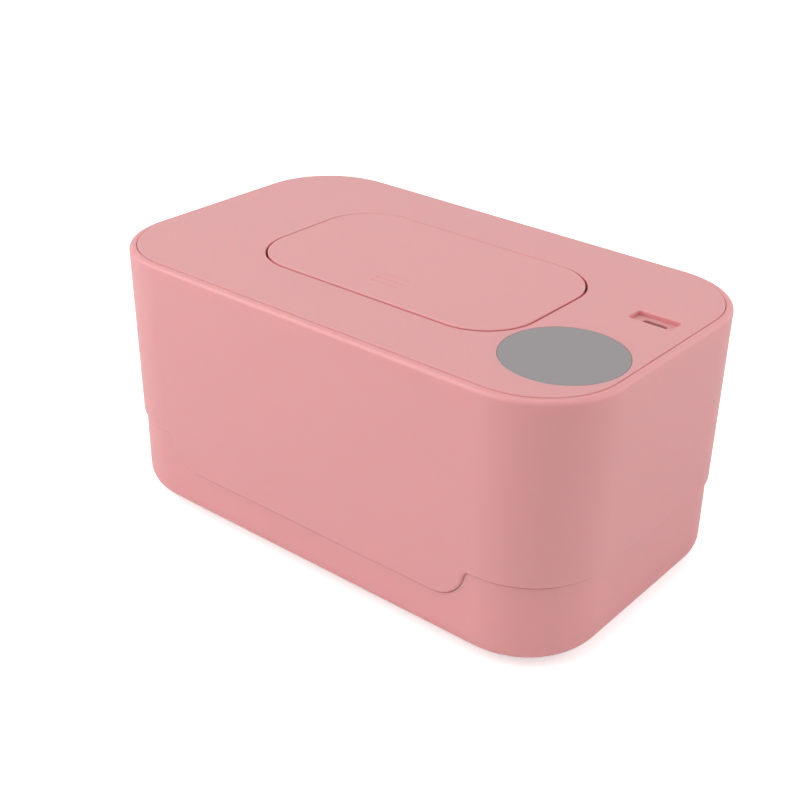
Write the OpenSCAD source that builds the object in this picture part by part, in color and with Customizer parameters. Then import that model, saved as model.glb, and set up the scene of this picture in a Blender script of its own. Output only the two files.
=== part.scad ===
// Baby wipe warmer: a tray, a housing that lifts off it, and a flush hatch over the dispensing slot.
// The origin is the middle of the footprint on the table. +X runs to the display end, +Y to the
// hinge side and +Z up.

/* [Body] */
// Length over the housing's rim
body_l = 200; // [192:1:212]
// Width over the housing's rim
body_w = 120; // [116:1:130]
// Height from the table to the top plate
body_h = 98; // [95:1:108]
// Corner radius in plan
corner_r = 30.4; // [28:0.2:32]

/* [Tray] */
// Height that the feet hold the tray off the table
foot_h = 2.4; // [1.8:0.1:3.4]
// Diameter of a foot
foot_d = 12; // [9:0.5:15]
// Height of the tray's outer wall
tray_h = 30.4; // [26:0.2:34]
// Radius round the tray's lower edge
tray_fillet = 7.6; // [5:0.2:9]
// Thickness of the tray's floor
tray_floor = 2.4; // [2:0.1:3]
// How far the tray's wall stands back from the shell
tray_step = 0.86; // [0.4:0.02:1.2]
// Thickness of the lip that stands inside the shell
lip_t = 1.6; // [1.2:0.1:2.2]
// Height of the lip above the seam
lip_h = 6; // [4:0.5:9]

/* [Shell] */
// Thickness of the shell's wall at the rim
shell_wall = 2.6; // [2.4:0.1:2.8]
// Radius round the rim
rim_fillet = 1.8; // [1:0.1:2.1]
// Radius round the shell's lower edge
edge_round = 1.5; // [0.8:0.1:1.7]
// Distance from each side of the tongue to the body's round corner
tongue_side = 3; // [2.8:0.1:12]
// How far the tongue reaches below the seam
tongue_drop = 12.7; // [11:0.1:14]
// Radius of the tongue's lower corners
tongue_r = 13.1; // [12:0.1:14]

/* [Top plate] */
// Thickness of the top plate
plate_t = 2; // [1.8:0.1:2.4]
// How far the plate stands proud of the rim
plate_proud = 0.4; // [0:0.1:0.8]
// Width of the groove between rim and plate
rim_gap = 0.4; // [0.2:0.05:0.6]
// Radius round the plate's edge
plate_fillet = 0.8; // [0.3:0.1:1.2]

/* [Hatch] */
// Distance from the lid's end to the body's end
lid_end = 45.7; // [44:0.1:48]
// How much wider the lid is than half the body
lid_extra_w = 4; // [3:0.5:6]
// Corner radius of the lid
lid_r = 19.5; // [17:0.5:22]
// Thickness of the lid's skin
lid_t = 2; // [1.6:0.1:2.1]
// Radius round the lid's top edge
lid_fillet = 1.2; // [0.6:0.1:1.4]
// Gap round the lid
lid_gap = 1; // [0.8:0.1:1.2]
// Depth of the well's floor below the plate's top
well_depth = 8; // [8:0.1:9]

/* [Display and port] */
// Diameter of the display disc
lens_d = 40.92; // [36:0.02:41]
// Distance from the plate's right edge to the disc's edge
lens_edge = 1.24; // [1.2:0.02:3]
// Length of the port's pocket
port_l = 15; // [13:0.5:16]
// Width of the port's pocket
port_w = 7; // [6:0.5:8]
// Depth of the port's pocket
port_depth = 2; // [2:0.1:2.4]

/* [Dispensing slot and heater] */
// Distance from the throat's end to the lid's end
throat_end = 22.3; // [21:0.1:27]
// Distance from the throat's side to the lid's side
throat_side = 21; // [20.5:0.1:23]
// Depth of the heater frame's underside below the plate's top
heater_drop = 26; // [26:0.5:30]
// Distance from the heater plate's end to the body's end
heater_end = 25; // [24:0.5:30]
// Distance from the heater plate's side to the body's side
heater_side = 24; // [24:0.5:25]

/* [Hidden] */
$fn = 96;

// Colours
pink = "#e0a7a8";
deep_pink = "#d99ea0";
disc_grey = "#9f9b9c";
steel = "#c4c6c8";
dark = "#33363a";
milky = "#efe6e2";

// Overrun of a cut past the face that it opens
overrun = 1;
// Overlap of a solid into one that it is joined to
lap = 0.5;
// Steps in a section's arc
arc_steps = 8;
// Lateral slip of the lip inside the shell
lip_slip = 0.35;
// Visible gap at the seam
seam_gap = 0.5;
// Radius where the tongue's flank flares into the seam
tongue_flare = 2.5;
// How far the tongue's wall laps up into the shell, where the wall stands upright
tongue_lap = 3;
// Inward lean of the shell's wall for each unit of height, down to the lap
draft_share = 0.01;
// Width and thickness of the ledge that carries the top plate
ledge_w = 3.4;
ledge_t = 2.4;
// Clearance of a screw's shank in its hole, and of a rigid piece set into another
screw_fit = 0.05;
seat_fit = 0.3;

half_l = body_l / 2;
half_w = body_w / 2;
lid_l = body_l - 2 * lid_end;
lid_w = half_w + lid_extra_w;
throat_l = lid_l - 2 * throat_end;
throat_w = lid_w - 2 * throat_side;
heater_l = body_l - 2 * heater_end;
heater_w = body_w - 2 * heater_side;
seam_z = foot_h + tray_h;
tongue_z = seam_z - tongue_drop;
plate_top = body_h;
plate_z = plate_top - plate_t;
rim_top = plate_top - plate_proud;
upright_z = seam_z + tongue_lap;
function shell_inset(z) = draft_share * (rim_top - rim_fillet - max(z, upright_z));

// Centres of the tongue's right corner and of the flare beside it, in x and z
tongue_half = half_l - corner_r - tongue_side;
corner_at = [tongue_half - tongue_r, tongue_z + tongue_r];
flare_z = seam_z - tongue_flare;
flare_at = [corner_at.x + sqrt(pow(tongue_r + tongue_flare, 2) - pow(corner_at.y - flare_z, 2)), flare_z];

// Tray
tray_inset = shell_inset(seam_z) + tray_step;
tray_half_l = half_l - tray_inset;
tray_half_w = half_w - tray_inset;
tray_corner = corner_r - tray_inset;
lip_in = shell_wall + lip_slip - tray_inset;
tray_wall = lip_in + lip_t;
tray_inner_fillet = tray_fillet - tray_wall;
lip_top = seam_z + lip_h;
foot_sink = 0.8;
foot_inset_x = 26;
foot_inset_y = 22;
foot_round = 1;

// Top plate
plate_inset = shell_wall + rim_gap;
plate_half_l = half_l - plate_inset;
plate_half_w = half_w - plate_inset;
plate_corner = corner_r - plate_inset;

// Well under the lid
lid_y = 1;
well_wall = 1.6;
well_flange_w = 3;
well_flange_t = 1.4;
well_edge = 0.5;
well_floor_t = 1.8;
well_half_l = lid_l / 2 + lid_gap;
well_half_w = lid_w / 2 + lid_gap;
well_corner = lid_r + lid_gap;
well_floor_z = plate_top - well_depth;
well_base_z = well_floor_z - well_floor_t;

// Hinge: the axis lies behind and below the well's back edge, so the lid swings up and clear
axis_back = 7;
axis_drop = 4.2;
axis_y = lid_y + well_half_w + axis_back;
axis_z = plate_top - axis_drop;
pin_d = 2;
pin_fit = 0.08;
ear_fit = 0.03;
barrel_d = 3.8;
arm_end = 24.3;
arm_x = lid_l / 2 - arm_end;
arm_w = 6;
arm_in = 8.8;
arm_t = 2.4;
arm_out = arm_in + arm_t;
strut_back = 1.4;
strut_front = 1.1;
ear_t = 2.2;
ear_d = 5.2;
ear_gap = 0.4;
pin_end = 0.8;
slot_clear = 0.8;
pin_l = 2 * (arm_x + arm_w / 2 + ear_gap + ear_t + pin_end);

// Torsion spring on the pin, beside the right arm
spring_wire = 0.6;
spring_clear = 0.1;
spring_r = strut_back + spring_clear + spring_wire / 2;
spring_turns = 5;
spring_l = 5;
spring_leg = 6.5;
spring_x = arm_x - arm_w / 2 - 2 * ear_gap - ear_t - spring_l;

// Lid's inner panel and its seal
inner_t = 1.4;
inner_inset = 2.5;
inner_half_l = lid_l / 2 - inner_inset;
inner_half_w = lid_w / 2 - inner_inset;
inner_corner = lid_r - inner_inset;
lid_under_z = plate_top - lid_t;
inner_z = lid_under_z - inner_t;
gasket_w = 2;
gasket_sink = 0.5;
gasket_clear = 0.3;
mark_l = 12;
mark_w = 1.1;
mark_depth = 0.3;
mark_pitch = 3.2;
mark_inset = 14.4;
mark_back = lid_w / 2 - mark_inset;
mark_count = 3;

// Membrane
membrane_flange = 4.75;
membrane_t = 1.2;
membrane_neck = 3;
membrane_skin = 0.9;
membrane_neck_wall = 1;
membrane_top_z = well_floor_z + membrane_t;
slit_end = 10;
slit_l = throat_l - 2 * slit_end;
slit_w = 5;
cross_slit_end = 3.5;
cross_slit_l = throat_w - 2 * cross_slit_end;
cross_slit_w = 1.2;
gasket_l = throat_l + membrane_flange;
gasket_across = throat_w + membrane_flange;

// Push latch
latch_inset = 7.5;
latch_y = lid_y - lid_w / 2 + latch_inset;
latch_bore_r = 4.3;
latch_wall = 1.7;
latch_floor = 1.2;
latch_flange_r = 7.5;
latch_flange_t = 1;
plunger_r = 4;
plunger_bore_r = 2.3;
plunger_base = 1.4;
plunger_h = 7;
plunger_slot = 1.2;
latch_case_h = 10.1;
latch_top_z = well_floor_z + latch_flange_t;
latch_bottom_z = well_floor_z - latch_case_h;
latch_seat_z = latch_bottom_z + latch_floor;
plunger_z = latch_top_z - plunger_h;
latch_spring_r = 2.3;
latch_wire = 0.5;
latch_turns = 4;
striker_r = 1.2;
striker_head_r = 1.6;
striker_head_h = 1.8;
striker_l = 6.2;
hook_r = 0.4;
hook_place_r = 3.75;
hook_groove_w = 1.6;
hook_groove_in = 3;
hook_l = 5;

// Heater stack, upwards from the frame
frame_t = 1.8;
frame_slip = 0.5;
frame_rim_t = 1.6;
frame_rim_h = 4;
frame_seat = 4;
frame_z = plate_top - heater_drop;
frame_top_z = frame_z + frame_t;
frame_half_l = half_l - shell_wall - frame_slip;
frame_half_w = half_w - shell_wall - frame_slip;
frame_corner = corner_r - shell_wall - frame_slip;
heater_corner = 10;
heater_t = 1;
film_t = 0.3;
film_inset = 2;
foam_t = 4.4;
heater_top_z = frame_top_z + heater_t;
film_top_z = heater_top_z + film_t;
foam_top_z = film_top_z + foam_t;
guard_t = 1.2;
guard_h = 3;
guard_gap = 0.5;
collar_wall = 1.5;
collar_clear = 0.5;

// Posts and screws that hold the frame under the cover
post_d = 6.5;
post_inset_x = 43;
post_inset_y = 19;
post_x = half_l - post_inset_x;
post_y = half_w - post_inset_y;
frame_boss_d = 9;
frame_boss_h = 4;
frame_boss_z = frame_z + frame_boss_h;
screw_d = 3;
screw_head_d = 5.4;
screw_head_h = 1.8;
screw_l = 10;
head_recess_d = 6;
head_recess_h = 2.2;
drive_d = 2;
drive_h = 1;

// Lugs inside the shell, and the screws that hold the cover to them
lug_t = 4;
lug_d = 9;
lug_web_w = 7.8;
lug_drop = 8;
lug_top_z = plate_top - lug_drop;
lug_z = lug_top_z - lug_t;
boss_d = 7;
boss_clear = 1.6;
lug_inset = 18;
side_lug_end = 42;
side_lug_x = half_l - side_lug_end;
side_lug_inset = 9.5;
LUGS = [
    [-half_l + lug_inset, -half_w + lug_inset, 225],
    [-half_l + lug_inset, half_w - lug_inset, 135],
    [half_l - lug_inset, half_w - lug_inset, 45],
    [side_lug_x, -half_w + side_lug_inset, 270],
    [0, half_w - side_lug_inset, 90]
];

// Display
lens_x = plate_half_l - lens_edge - lens_d / 2;
lens_forward = 13.2;
lens_y = lid_y - lid_w / 2 + lid_r - lens_forward;
lens_t = 2.6;
lens_skirt_h = 2.9;
lens_skirt_t = 1.6;
lens_shoulder = 2.2;
lens_seat_t = 1.2;
lens_cup_wall = 0.7;
lens_seat_z = plate_top - lens_t;
lens_cup_r = lens_d / 2 + seat_fit + lens_cup_wall;
cup_relief = 0.4;
well_relief = 0.1;

// Port
port_inset = 14.35;
port_x = plate_half_l - port_inset;
port_y = 16.3;
port_r = 2;
port_wall = 1.2;
port_floor_z = plate_top - port_depth;
socket_l = 8.94;
socket_w = 3.16;
socket_wall = 0.3;
socket_fit = 0.18;
socket_tongue_l = 6.7;
socket_tongue_t = 0.7;
socket_base_h = 3;
socket_base_l = 9.6;
socket_base_w = 5;

// Control board
board_l = 30;
board_front_inset = 16;
board_t = 1.6;
board_drop = 13.1;
board_corner = 1.5;
board_front_corner = 12;
board_top_z = plate_top - board_drop;
board_z = board_top_z - board_t;
board_edge = 4;
board_right = plate_half_l - board_edge;
board_left = board_right - board_l;
board_back = 24;
board_front = -half_w + board_front_inset;
board_w = board_back - board_front;
board_post_d = 5.5;
board_screw_d = 2.2;
board_screw_head_d = 4;
board_screw_head_h = 1.4;
board_screw_l = 6;
board_hole_inset = 3.5;
board_mid_back = 23.2;
board_mid_y = lens_y + board_mid_back;
BOARD_POSTS = [
    [board_left + board_hole_inset, board_back - board_hole_inset],
    [board_right - board_hole_inset, board_mid_y],
    [board_left + board_hole_inset, board_mid_y]
];
digit_l = 18;
digit_w = 14;
digit_h = 6.6;
digit_rim = 1.2;
digit_sink = 0.8;
touch_offset = 12.6;
touch_r = 2.2;
touch_wire = 0.5;
touch_turns = 6;
chip_l = 7;
chip_t = 1.5;
cap_r = 2.5;
cap_h = 6;

// Sensors and leads
sensor_end = 25;
sensor_x = heater_l / 2 - sensor_end;
sensor_y = 15;
sensor_r = 1.5;
sensor_h = 2.4;
sensor_hole_r = 2.6;
fuse_x = sensor_x;
fuse_y = -20;
fuse_l = 11;
fuse_r = 2;
fuse_lift = 0.1;
fuse_hole_l = 15;
fuse_hole_w = 6;
lead_r = 0.7;
thin_lead_r = 0.45;
lead_bend = 2;
lead_end = 31;
lead_x = half_l - lead_end;
lead_y = 9;
lead_pitch = 3;
lead_run = 8;
thin_lead_end = 33;
thin_lead_x = half_l - thin_lead_end;

// 2D shapes
module rounded_rect(hl, hw, r) {
    square([2 * hl, 2 * (hw - r)], center = true);
    square([2 * (hl - r), 2 * hw], center = true);
    for (sx = [-1, 1], sy = [-1, 1])
        translate([sx * (hl - r), sy * (hw - r)]) circle(r);
}

module stadium(l, w) {
    square([l - w, w], center = true);
    for (s = [-1, 1]) translate([s * (l - w) / 2, 0]) circle(d = w);
}

// A rectangle from x0, z0 to x1, z1 whose outer lower corner is round
module lower_block(x0, z0, x1, z1, r) {
    translate([x0 + r, z0]) square([x1 - x0 - r, z1 - z0]);
    translate([x0, z0 + r]) square([x1 - x0, z1 - z0 - r]);
    translate([x0 + r, z0 + r]) circle(r);
}

function arc(x, z, r, a0, a1) =
    [for (i = [0:arc_steps]) let (a = a0 + (a1 - a0) * i / arc_steps) [x + r * cos(a), z + r * sin(a)]];

// Solids
module slab(hl, hw, r, z0, z1) {
    translate([0, 0, z0]) linear_extrude(height = z1 - z0) rounded_rect(hl, hw, r);
}

module stadium_slab(l, w, z0, z1) {
    translate([0, 0, z0]) linear_extrude(height = z1 - z0) stadium(l, w);
}

// Carries a section round a rounded rectangle. The section's x is the distance in from the outline.
module around(hl, hw, r) {
    for (side = [0, 1]) {
        mirror([side, 0, 0]) translate([hl, 0, 0]) rotate([90, 0, 0])
            linear_extrude(height = 2 * (hw - r), center = true) mirror([1, 0]) children();
        mirror([0, side, 0]) translate([0, hw, 0]) rotate([90, 0, 90])
            linear_extrude(height = 2 * (hl - r), center = true) mirror([1, 0]) children();
        for (end = [0, 1])
            mirror([side, 0, 0]) mirror([0, end, 0]) translate([hl - r, hw - r, 0])
                rotate_extrude(angle = 90) translate([r, 0]) mirror([1, 0]) children();
    }
}

// A flat panel with a round top edge
module panel(hl, hw, r, z0, z1, fillet) {
    around(hl, hw, r)
        polygon(concat([[r, z0], [0, z0]], arc(fillet, z1 - fillet, fillet, 180, 90), [[r, z1]]));
    translate([0, 0, (z0 + z1) / 2]) cube([2 * (hl - r), 2 * (hw - r), z1 - z0], center = true);
}

// Lays a 2D shape drawn in x and z across the part, from y0 to y1
module across(y0, y1) {
    translate([0, y1, 0]) rotate([90, 0, 0]) linear_extrude(height = y1 - y0) children();
}

// Lays a 2D shape drawn in y and z along x, w wide and centred on x
module along(x, w) {
    translate([x, 0, 0]) rotate([90, 0, 90]) linear_extrude(height = w, center = true) children();
}

module both_long_sides() {
    children();
    mirror([0, 1, 0]) children();
}

// A round wire that follows points, with a flat end at each end
module wire(points, r, sides = 8) {
    last = len(points) - 1;
    directions = [for (i = [0:last]) unit(points[min(i + 1, last)] - points[max(i - 1, 0)])];
    rings = [for (i = [0:last]) let (
        u = unit(cross(directions[i], abs(directions[i].x) < 0.9 ? [1, 0, 0] : [0, 1, 0])),
        v = cross(directions[i], u)
    ) for (k = [0:sides - 1]) points[i] + r * (u * cos(360 * k / sides) + v * sin(360 * k / sides))];
    walls = [for (i = [0:last - 1], k = [0:sides - 1])
        [i * sides + k, (i + 1) * sides + k, (i + 1) * sides + (k + 1) % sides, i * sides + (k + 1) % sides]];
    start = [[for (k = [0:sides - 1]) k]];
    end = [[for (k = [sides - 1:-1:0]) last * sides + k]];
    polyhedron(rings, concat(start, walls, end), convexity = 10);
}

function unit(v) = v / norm(v);

function coil(r, z0, z1, turns, steps = 12) =
    [for (i = [0:turns * steps]) let (a = 360 * i / steps, rise = (z1 - z0) * i / (turns * steps))
        [r * cos(a), r * sin(a), z0 + rise]];

module screw(shank_d, shank_l, head_d, head_h) {
    difference() {
        union() {
            cylinder(d = shank_d, h = shank_l);
            translate([0, 0, -head_h]) cylinder(d = head_d, h = head_h);
        }
        translate([0, 0, -head_h - overrun]) cylinder(d = drive_d, h = drive_h + overrun, $fn = 6);
    }
}

// Tray
// The tongue as it is drawn on the wall: round corners, each tangent to a flare into the seam
module tongue_outline(grow, top) {
    for (side = [0, 1]) mirror([side, 0]) {
        translate([-lap, tongue_z - grow]) square([corner_at.x + lap, top - tongue_z + grow]);
        translate(corner_at) circle(tongue_r + grow);
        difference() {
            polygon([corner_at, flare_at, [flare_at.x, top], [corner_at.x, top]]);
            translate(flare_at) circle(tongue_flare - grow);
        }
    }
}

module tray_section() {
    difference() {
        union() {
            lower_block(0, foot_h, tray_corner, seam_z - seam_gap, tray_fillet);
            translate([lip_in, foot_h + tray_fillet]) square([lip_t, lip_top - foot_h - tray_fillet]);
        }
        lower_block(tray_wall, foot_h + tray_floor, tray_corner + overrun, lip_top + overrun,
            tray_inner_fillet);
    }
}

module at_feet() {
    for (sx = [-1, 1], sy = [-1, 1])
        translate([sx * (half_l - foot_inset_x), sy * (half_w - foot_inset_y), 0]) children();
}

module base_tray() {
    color(pink) difference() {
        union() {
            around(tray_half_l, tray_half_w, tray_corner) tray_section();
            translate([0, 0, foot_h + tray_floor / 2])
                cube([2 * (tray_half_l - tray_corner), 2 * (tray_half_w - tray_corner), tray_floor],
                    center = true);
        }
        both_long_sides() across(tray_half_w - lip_in, half_w) tongue_outline(seam_gap, seam_z);
        at_feet() cylinder(r = foot_d / 2 + seat_fit, h = foot_h + foot_sink);
    }
}

module rubber_feet() {
    color(dark) at_feet() rotate_extrude()
        polygon(concat([[0, 0]], arc(foot_d / 2 - foot_round, foot_round, foot_round, 270, 360),
            [[foot_d / 2, foot_h + foot_sink], [0, foot_h + foot_sink]]));
}

// Shell
module shell_section() {
    low_x = shell_inset(seam_z);
    polygon(concat(
        [[shell_wall, seam_z]],
        arc(low_x + edge_round, seam_z + edge_round, edge_round, 270, 180),
        [[low_x, upright_z]],
        arc(rim_fillet, rim_top - rim_fillet, rim_fillet, 180, 90),
        [
            [shell_wall, rim_top],
            [shell_wall, plate_z],
            [shell_wall + ledge_w, plate_z],
            [shell_wall + ledge_w, plate_z - ledge_t],
            [shell_wall, plate_z - ledge_t - ledge_w]
        ]));
}

module tongue_section() {
    low_x = shell_inset(seam_z);
    polygon(concat(
        [[shell_wall, tongue_z]],
        arc(low_x + edge_round, tongue_z + edge_round, edge_round, 270, 180),
        [[low_x, upright_z], [shell_wall, upright_z]]));
}

module tongue() {
    intersection() {
        translate([0, half_w, 0]) rotate([90, 0, 90])
            linear_extrude(height = 2 * (half_l - corner_r), center = true) mirror([1, 0]) tongue_section();
        across(half_w - shell_wall - overrun, half_w + overrun) tongue_outline(0, upright_z + overrun);
    }
}

// A lug stands in from the wall: an eye, and a web that runs out to the wall behind it
module lugs() {
    intersection() {
        for (lug = LUGS) translate([lug.x, lug.y, lug_z]) {
            cylinder(d = lug_d, h = lug_t);
            rotate([0, 0, lug.z]) translate([0, -lug_web_w / 2, 0]) cube([corner_r, lug_web_w, lug_t]);
        }
        slab(half_l - shell_wall / 2, half_w - shell_wall / 2, corner_r - shell_wall / 2, lug_z, lug_top_z);
    }
}

module at_lugs() {
    for (lug = LUGS) translate([lug.x, lug.y, 0]) children();
}

module outer_shell() {
    color(pink) difference() {
        union() {
            around(half_l, half_w, corner_r) shell_section();
            both_long_sides() tongue();
            lugs();
        }
        at_lugs() translate([0, 0, lug_z - overrun])
            cylinder(r = screw_d / 2 + seat_fit, h = lug_t + 2 * overrun);
        translate([lens_x, lens_y, plate_z - ledge_t - ledge_w])
            cylinder(r = lens_cup_r + cup_relief, h = ledge_t + ledge_w + overrun);
    }
}

module cover_screws() {
    color(steel) at_lugs() translate([0, 0, lug_z])
        screw(screw_d, screw_l - boss_clear, screw_head_d, screw_head_h);
}

// Top cover
module at_posts() {
    for (sx = [-1, 1], sy = [-1, 1]) translate([sx * post_x, sy * post_y, 0]) children();
}

module at_board_posts() {
    for (place = BOARD_POSTS) translate([place.x, place.y, 0]) children();
}

module at_ears() {
    reach = arm_w / 2 + ear_gap + ear_t / 2;
    for (s = [-1, 1], e = [-1, 1]) translate([s * arm_x + e * reach, 0, 0]) children();
}

module at_port() {
    translate([port_x, port_y, 0]) children();
}

module at_lens() {
    translate([lens_x, lens_y, 0]) children();
}

// A cheek that stands out from the well's back wall and carries the pin
module ear() {
    wall_y = lid_y + well_half_w + well_wall;
    along(0, ear_t) intersection() {
        union() {
            translate([axis_y, axis_z]) circle(d = ear_d);
            translate([wall_y - lap, axis_z - ear_d / 2]) square([axis_y - wall_y + lap, ear_d]);
        }
        translate([wall_y - lap, axis_z - ear_d]) square([axis_y, plate_z - axis_z + ear_d]);
    }
}

module cover_body() {
    panel(plate_half_l, plate_half_w, plate_corner, plate_z, plate_top, plate_fillet);
    at_lens() translate([0, 0, lens_seat_z - lens_seat_t])
        cylinder(r = lens_cup_r, h = plate_z - lens_seat_z + lens_seat_t + lap);
    at_port() slab(port_l / 2 + port_wall, port_w / 2 + port_wall, port_r + port_wall,
        port_floor_z - port_wall, plate_z + lap);
    at_lugs() translate([0, 0, lug_top_z]) cylinder(d = boss_d, h = plate_z + lap - lug_top_z);
    at_posts() translate([0, 0, frame_boss_z]) cylinder(d = post_d, h = plate_z + lap - frame_boss_z);
    at_board_posts() translate([0, 0, board_top_z])
        cylinder(d = board_post_d, h = plate_z + lap - board_top_z);
}

module arm_slot() {
    y0 = axis_y - arm_out - slot_clear;
    y1 = lid_y + well_half_w + well_wall + well_flange_w + overrun;
    translate([-arm_w / 2 - ear_gap, y0, well_base_z - overrun])
        cube([arm_w + 2 * ear_gap, y1 - y0, plate_z - well_base_z + 2 * overrun]);
}

module top_cover() {
    color(pink) difference() {
        cover_body();
        translate([0, lid_y, 0]) {
            slab(well_half_l, well_half_w, well_corner, plate_z - overrun, plate_top + overrun);
            around(well_half_l, well_half_w, well_corner)
                polygon([
                    [overrun, plate_top - well_edge - overrun],
                    [-well_edge - overrun, plate_top + overrun],
                    [overrun, plate_top + overrun]
                ]);
        }
        at_lens() {
            translate([0, 0, lens_seat_z]) cylinder(r = lens_d / 2 + seat_fit, h = lens_t + overrun);
            translate([0, 0, lens_seat_z - lens_seat_t - overrun])
                cylinder(r = lens_d / 2 - lens_shoulder + seat_fit, h = lens_seat_t + 2 * overrun);
        }
        at_port() {
            slab(port_l / 2, port_w / 2, port_r, port_floor_z, plate_top + overrun);
            stadium_slab(socket_l + 2 * socket_fit, socket_w + 2 * socket_fit,
                port_floor_z - port_wall - overrun, port_floor_z + overrun);
        }
        at_lugs() translate([0, 0, lug_top_z - overrun])
            cylinder(r = screw_d / 2 + screw_fit, h = screw_l - boss_clear - lug_t + screw_fit + overrun);
        at_posts() translate([0, 0, frame_boss_z - overrun])
            cylinder(r = screw_d / 2 + screw_fit, h = screw_l + overrun);
        at_board_posts() translate([0, 0, board_top_z - overrun])
            cylinder(r = board_screw_d / 2 + screw_fit, h = board_screw_l + overrun);
    }
}

// The well is a tub with a flange that is welded under the top plate
module hatch_well() {
    color(pink) difference() {
        union() {
            translate([0, lid_y, 0]) {
                slab(well_half_l + well_wall, well_half_w + well_wall, well_corner + well_wall,
                    well_base_z, plate_z);
                slab(well_half_l + well_wall + well_flange_w, well_half_w + well_wall + well_flange_w,
                    well_corner + well_wall + well_flange_w, plate_z - well_flange_t, plate_z);
            }
            at_ears() ear();
        }
        translate([0, lid_y, 0])
            slab(well_half_l, well_half_w, well_corner, well_floor_z, plate_z + overrun);
        stadium_slab(throat_l, throat_w, well_base_z - overrun, well_floor_z + overrun);
        for (s = [-1, 1]) translate([s * arm_x, 0, 0]) arm_slot();
        translate([-pin_l / 2, axis_y, axis_z]) rotate([0, 90, 0])
            cylinder(r = pin_d / 2 + ear_fit, h = pin_l);
        translate([0, latch_y, well_base_z - overrun])
            cylinder(r = latch_bore_r + latch_wall + screw_fit, h = well_floor_t + 2 * overrun);
        at_lens() translate([0, 0, lens_seat_z - lens_seat_t - well_relief])
            cylinder(r = lens_cup_r + well_relief, h = lens_seat_t + lens_t + overrun);
    }
}

// The sleeve leads the wipes from the heater plate to the well's floor
module throat_sleeve() {
    color(deep_pink) difference() {
        stadium_slab(throat_l + 2 * collar_wall, throat_w + 2 * collar_wall, heater_top_z, well_base_z);
        stadium_slab(throat_l, throat_w, heater_top_z - overrun, well_base_z + overrun);
    }
}

// Display
module display_lens() {
    color(disc_grey) at_lens() {
        translate([0, 0, lens_seat_z]) cylinder(d = lens_d, h = lens_t);
        difference() {
            translate([0, 0, lens_seat_z - lens_skirt_h])
                cylinder(r = lens_d / 2 - lens_shoulder, h = lens_skirt_h);
            translate([0, 0, lens_seat_z - lens_skirt_h - overrun])
                cylinder(r = lens_d / 2 - lens_shoulder - lens_skirt_t, h = lens_skirt_h + overrun);
        }
    }
}

module led_display() {
    color(dark) at_lens() translate([0, 0, board_top_z]) difference() {
        translate([-digit_l / 2, -digit_w / 2, 0]) cube([digit_l, digit_w, digit_h]);
        for (s = [-1, 1]) translate([s * digit_l / 4, 0, digit_h - digit_sink])
            linear_extrude(height = digit_sink + overrun)
                square([digit_l / 2 - 2 * digit_rim, digit_w - 2 * digit_rim], center = true);
    }
}

module touch_spring() {
    half_wire = touch_wire / 2;
    color(steel) at_lens() translate([touch_offset, 0, 0])
        wire(coil(touch_r, board_top_z + half_wire, lens_seat_z - half_wire, touch_turns), half_wire);
}

// Electronics
module board_outline() {
    difference() {
        translate([(board_left + board_right) / 2, (board_front + board_back) / 2])
            rounded_rect(board_l / 2, board_w / 2, board_corner);
        translate([board_right - board_front_corner, board_front - overrun])
            square(board_front_corner + overrun);
    }
    translate([board_right - board_front_corner, board_front + board_front_corner])
        circle(board_front_corner);
}

module control_board() {
    color("#2e5a3c") difference() {
        translate([0, 0, board_z]) linear_extrude(height = board_t) board_outline();
        at_board_posts() translate([0, 0, board_z - overrun])
            cylinder(r = board_screw_d / 2 + seat_fit, h = board_t + 2 * overrun);
    }
}

module board_parts() {
    chip_x = (board_left + board_right) / 2;
    color(dark) {
        translate([chip_x - chip_l / 2, lens_y + digit_w, board_top_z]) cube([chip_l, chip_l, chip_t]);
        translate([board_left + 2 * cap_r, lens_y - digit_w / 2 - 2 * cap_r, board_top_z])
            cylinder(r = cap_r, h = cap_h);
        translate([board_left + board_hole_inset, port_y - 2 * cap_r - chip_l / 2, board_top_z])
            cylinder(r = cap_r / 2, h = cap_h / 2);
    }
}

module board_screws() {
    color(steel) at_board_posts() translate([0, 0, board_z])
        screw(board_screw_d, board_screw_l + board_t - overrun, board_screw_head_d, board_screw_head_h);
}

module usb_socket() {
    color(steel) at_port() {
        difference() {
            stadium_slab(socket_l, socket_w, board_top_z, port_floor_z);
            stadium_slab(socket_l - 2 * socket_wall, socket_w - 2 * socket_wall,
                board_top_z + socket_base_h, port_floor_z + overrun);
        }
        translate([-socket_tongue_l / 2, -socket_tongue_t / 2, board_top_z])
            cube([socket_tongue_l, socket_tongue_t, port_floor_z - board_top_z - overrun]);
        translate([-socket_base_l / 2, -socket_base_w / 2, board_top_z])
            cube([socket_base_l, socket_base_w, socket_base_h]);
    }
}

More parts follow.
